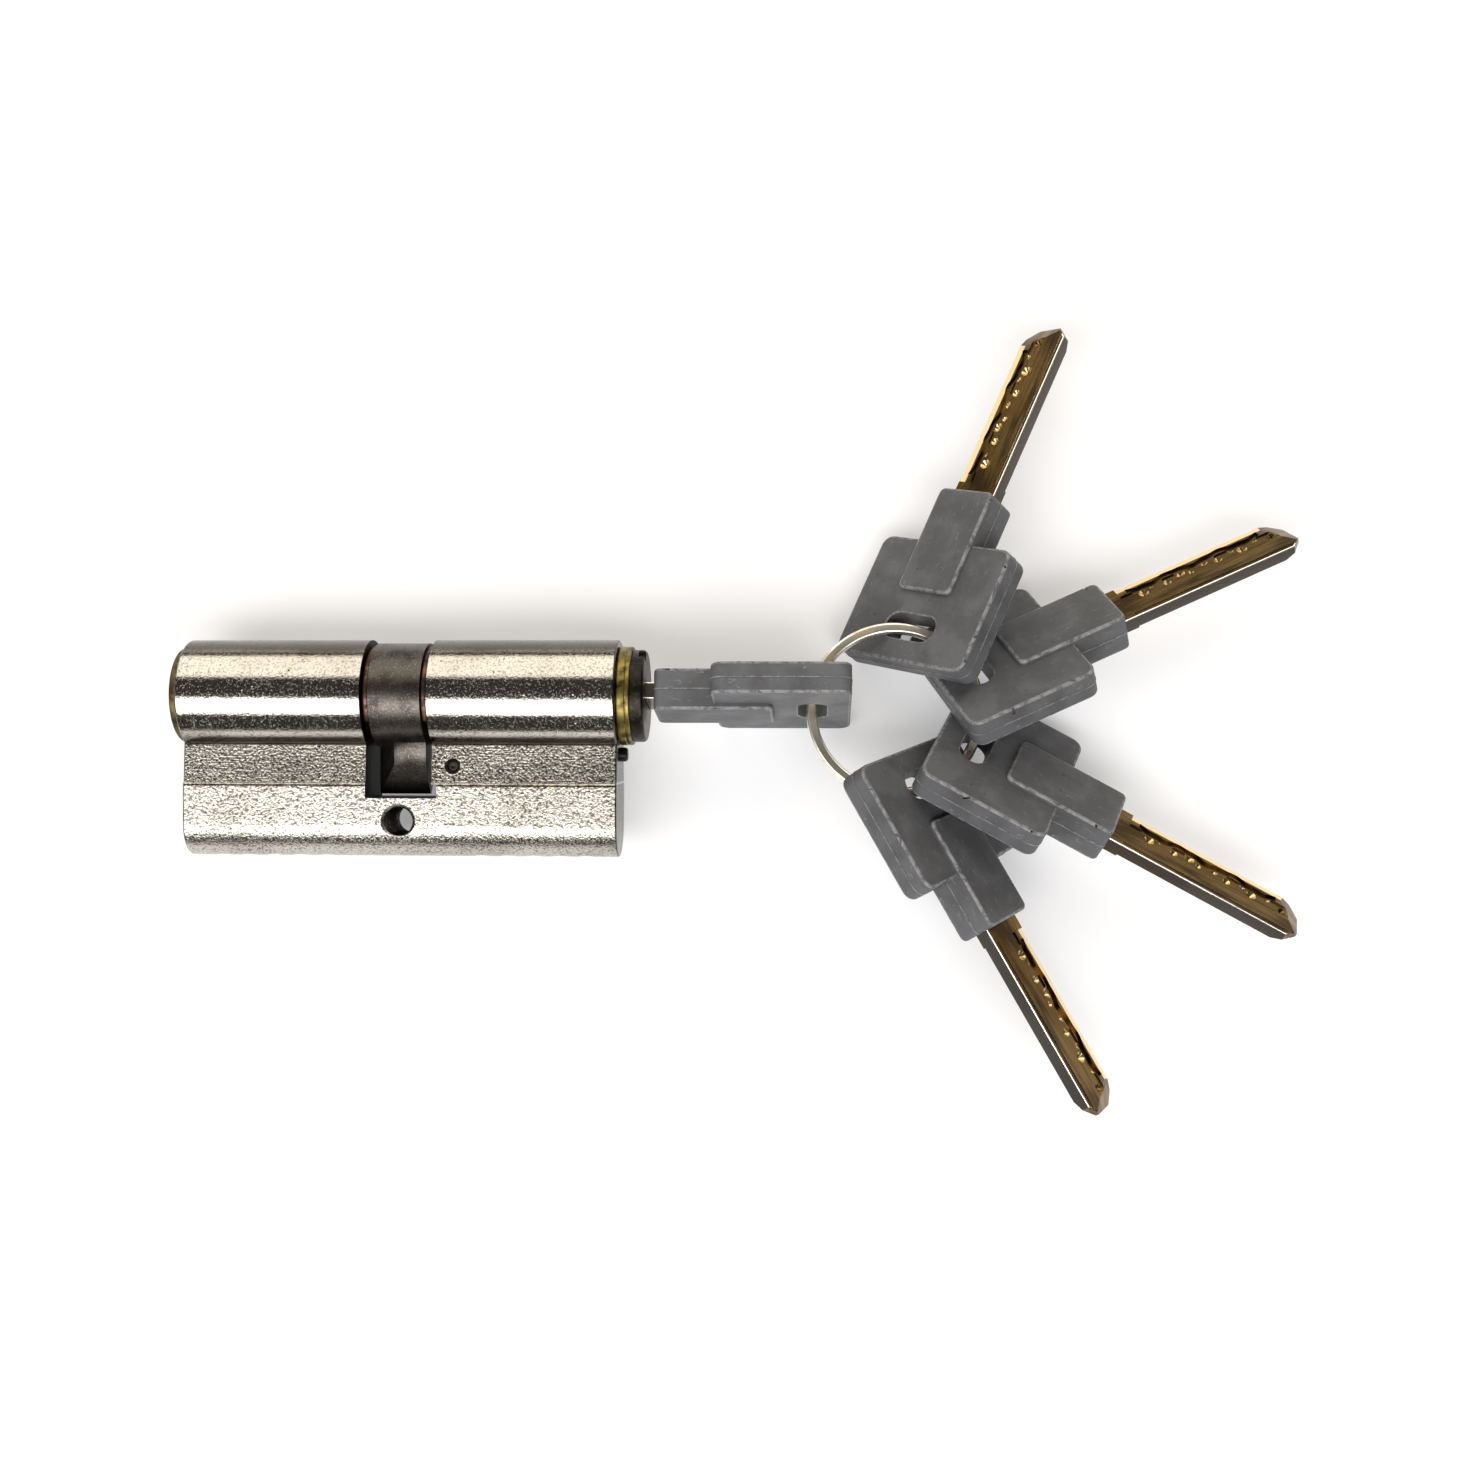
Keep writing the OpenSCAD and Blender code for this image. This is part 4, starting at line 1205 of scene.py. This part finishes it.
def headShape(low, high, number):
    s = headSizes
    plateHalf = s["plateThick"] / 2
    plateEnd = low.x + s["plateLong"]
    bm = block((low.x, low.y, -plateHalf), (plateEnd, high.y, plateHalf))
    roundEdges(bm, edgesAlong(bm, (0, 0, 1)), s["cornerRadius"], 6)
    roundEdges(bm, sharpEdges(bm, 60), s["rim"], 3)
    neckHalf = s["neckWide"] / 2
    neck = block((plateEnd - s["padLong"], -neckHalf, low.z), (high.x, neckHalf, high.z))
    roundEdges(neck, edgesAlong(neck, (0, 0, 1)), s["neckCorner"], 4)
    roundEdges(neck, sharpEdges(neck, 60), s["rim"], 3)
    boolean(bm, neck, "UNION")
    slotHalf, slotSide = s["slotLong"] / 2, s["slotWide"] / 2
    slot = block((-slotHalf, -slotSide, low.z - overshoot), (slotHalf, slotSide, high.z + overshoot))
    roundEdges(slot, edgesAlong(slot, (0, 0, 1)), s["slotCorner"], 5)
    boolean(bm, slot)

    near = 0.1

    def inSlot(spot):
        return abs(spot.x) < slotHalf + near and abs(spot.y) < slotSide + near

    rims = sharpEdges(bm, 60, lambda edge: all(inSlot(vert.co) and abs(vert.co.z) > plateHalf - near
                                               for vert in edge.verts))
    roundEdges(bm, rims, s["slotRim"], 2)
    for z in (-s["seamHalf"], s["seamHalf"]):
        geometry = bm.verts[:] + bm.edges[:] + bm.faces[:]
        bmesh.ops.bisect_plane(bm, geom=geometry, dist=tiny, plane_co=(0, 0, z), plane_no=(0, 0, 1))
    seam = []
    for face in bm.faces:
        centre = face.calc_center_median()
        if abs(centre.z) < s["seamHalf"] / 2 and not inSlot(centre) and centre.x < high.x - near:
            seam.append(face)
    bmesh.ops.inset_region(bm, faces=seam, thickness=0.0, depth=s["seamOut"], use_even_offset=True)
    edge = bm.faces.layers.float.new("edge")
    for face in bm.faces:
        longest = max(loop.edge.calc_length() for loop in face.loops)
        narrow = face.calc_area() / longest < s["rim"]
        centre = face.calc_center_median()
        onSeam = abs(centre.z) < s["seamHalf"] + tiny and not inSlot(centre)
        face[edge] = 1.0 if narrow and 0.15 < abs(face.normal.z) < 0.97 or onSeam else 0.0
    nickHead(bm, low, high, number)
    return bm


def makeKeys():
    blade = bladeShape(*spanOf(keyPlaces[1], "key_1_blade"))
    headSpan = spanOf(keyPlaces[1], "key_1_head")
    for number in keyNumbers:
        body = "keyed_plug" if number == 5 else f"loose_key_{number}"
        settle(f"key{number}Blade", blade.copy(), keyPlaces[number], bladeMetal, body, "key_blade",
               f"key_{number}_blade", smoothUnder=28)
        settle(f"key{number}Head", headShape(*headSpan, number), keyPlaces[number], plastic, body, "key_head",
               f"key_{number}_head")
    blade.free()


makeKeys()
print("keys made")


# CAD nodes that stay as they are take their finishes

carried = {
    innerBlack: ["plug_guard_pins"],
    innerBrass: ["outer_key_pins", "inner_key_pins", "outer_stoppers", "inner_stoppers"],
    innerSteel: ["outer_clutch", "inner_clutch", "clutch_spring", "outer_driver_pins", "inner_driver_pins",
                 "outer_pin_springs", "inner_pin_springs"],
}
for finish, names in carried.items():
    for name in names:
        nodes[name].data.materials.clear()
        nodes[name].data.materials.append(finish)


# Floor, light and camera

stageLook = {
    "floorHalf": 5.0,        # metres
    "surround": (0.055, 0.051, 0.046),
    "keyLight": {"place": (-0.05, -0.380, 0.554), "size": (1.25, 0.36),
                 "radiance": 5.3, "colour": (1, 0.985, 0.965)},
    "warmLight": {"place": (0.0, 0.86, 0.62), "size": (1.8, 1.02),
                  "radiance": 1.9, "colour": (1, 0.93, 0.82)},
}


def panel(name, look):
    light = bpy.data.lights.new(name, "AREA")
    light.shape = "RECTANGLE"
    light.size, light.size_y = look["size"]
    light.energy = look["radiance"] * math.pi * look["size"][0] * look["size"][1]
    light.color = look["colour"]
    lamp = bpy.data.objects.new(name, light)
    lamp.location = look["place"]
    lamp.rotation_euler = (-Vector(look["place"])).to_track_quat("-Z", "Y").to_euler()
    scene.collection.objects.link(lamp)


def makeStage():
    half = stageLook["floorHalf"]
    bm = bmesh.new()
    bmesh.ops.create_grid(bm, x_segments=1, y_segments=1, size=half)
    bmesh.ops.translate(bm, verts=bm.verts, vec=(0, 0, cadBox[0].z))
    mesh = bpy.data.meshes.new("floor")
    bm.to_mesh(mesh)
    bm.free()
    mesh.materials.append(floorFinish())
    floor = bpy.data.objects.new("floor", mesh)
    scene.collection.objects.link(floor)
    for name in ("keyLight", "warmLight"):
        panel(name, stageLook[name])
    scene.world = bpy.data.worlds.new("surround")
    scene.world.use_nodes = True
    scene.world.node_tree.nodes["Background"].inputs["Color"].default_value = (*stageLook["surround"], 1)
    scene.view_settings.view_transform = "Standard"


cameraLook = {
    "place": (50.890, -31.919, 258.684),          # millimetres
    "tilt": (0.17336, 0.00090, 0.01179),          # about X, Y and Z, radians
    "focal": 41.46,
    "sensor": 36,
    "clip": (0.01, 30),      # metres
}


def makeCamera():
    camera = bpy.data.cameras.new("camera")
    camera.sensor_width = cameraLook["sensor"]
    camera.lens = cameraLook["focal"]
    camera.clip_start, camera.clip_end = cameraLook["clip"]
    x, y, z = cameraLook["tilt"]
    turn = Matrix.Rotation(y, 4, "Y") @ Matrix.Rotation(x, 4, "X") @ Matrix.Rotation(z, 4, "Z")
    seat = bpy.data.objects.new("camera", camera)
    seat.matrix_world = Matrix.Translation(Vector(cameraLook["place"]) * mm) @ turn
    scene.collection.objects.link(seat)
    scene.camera = seat


makeStage()
makeCamera()
print("stage, light and camera made")
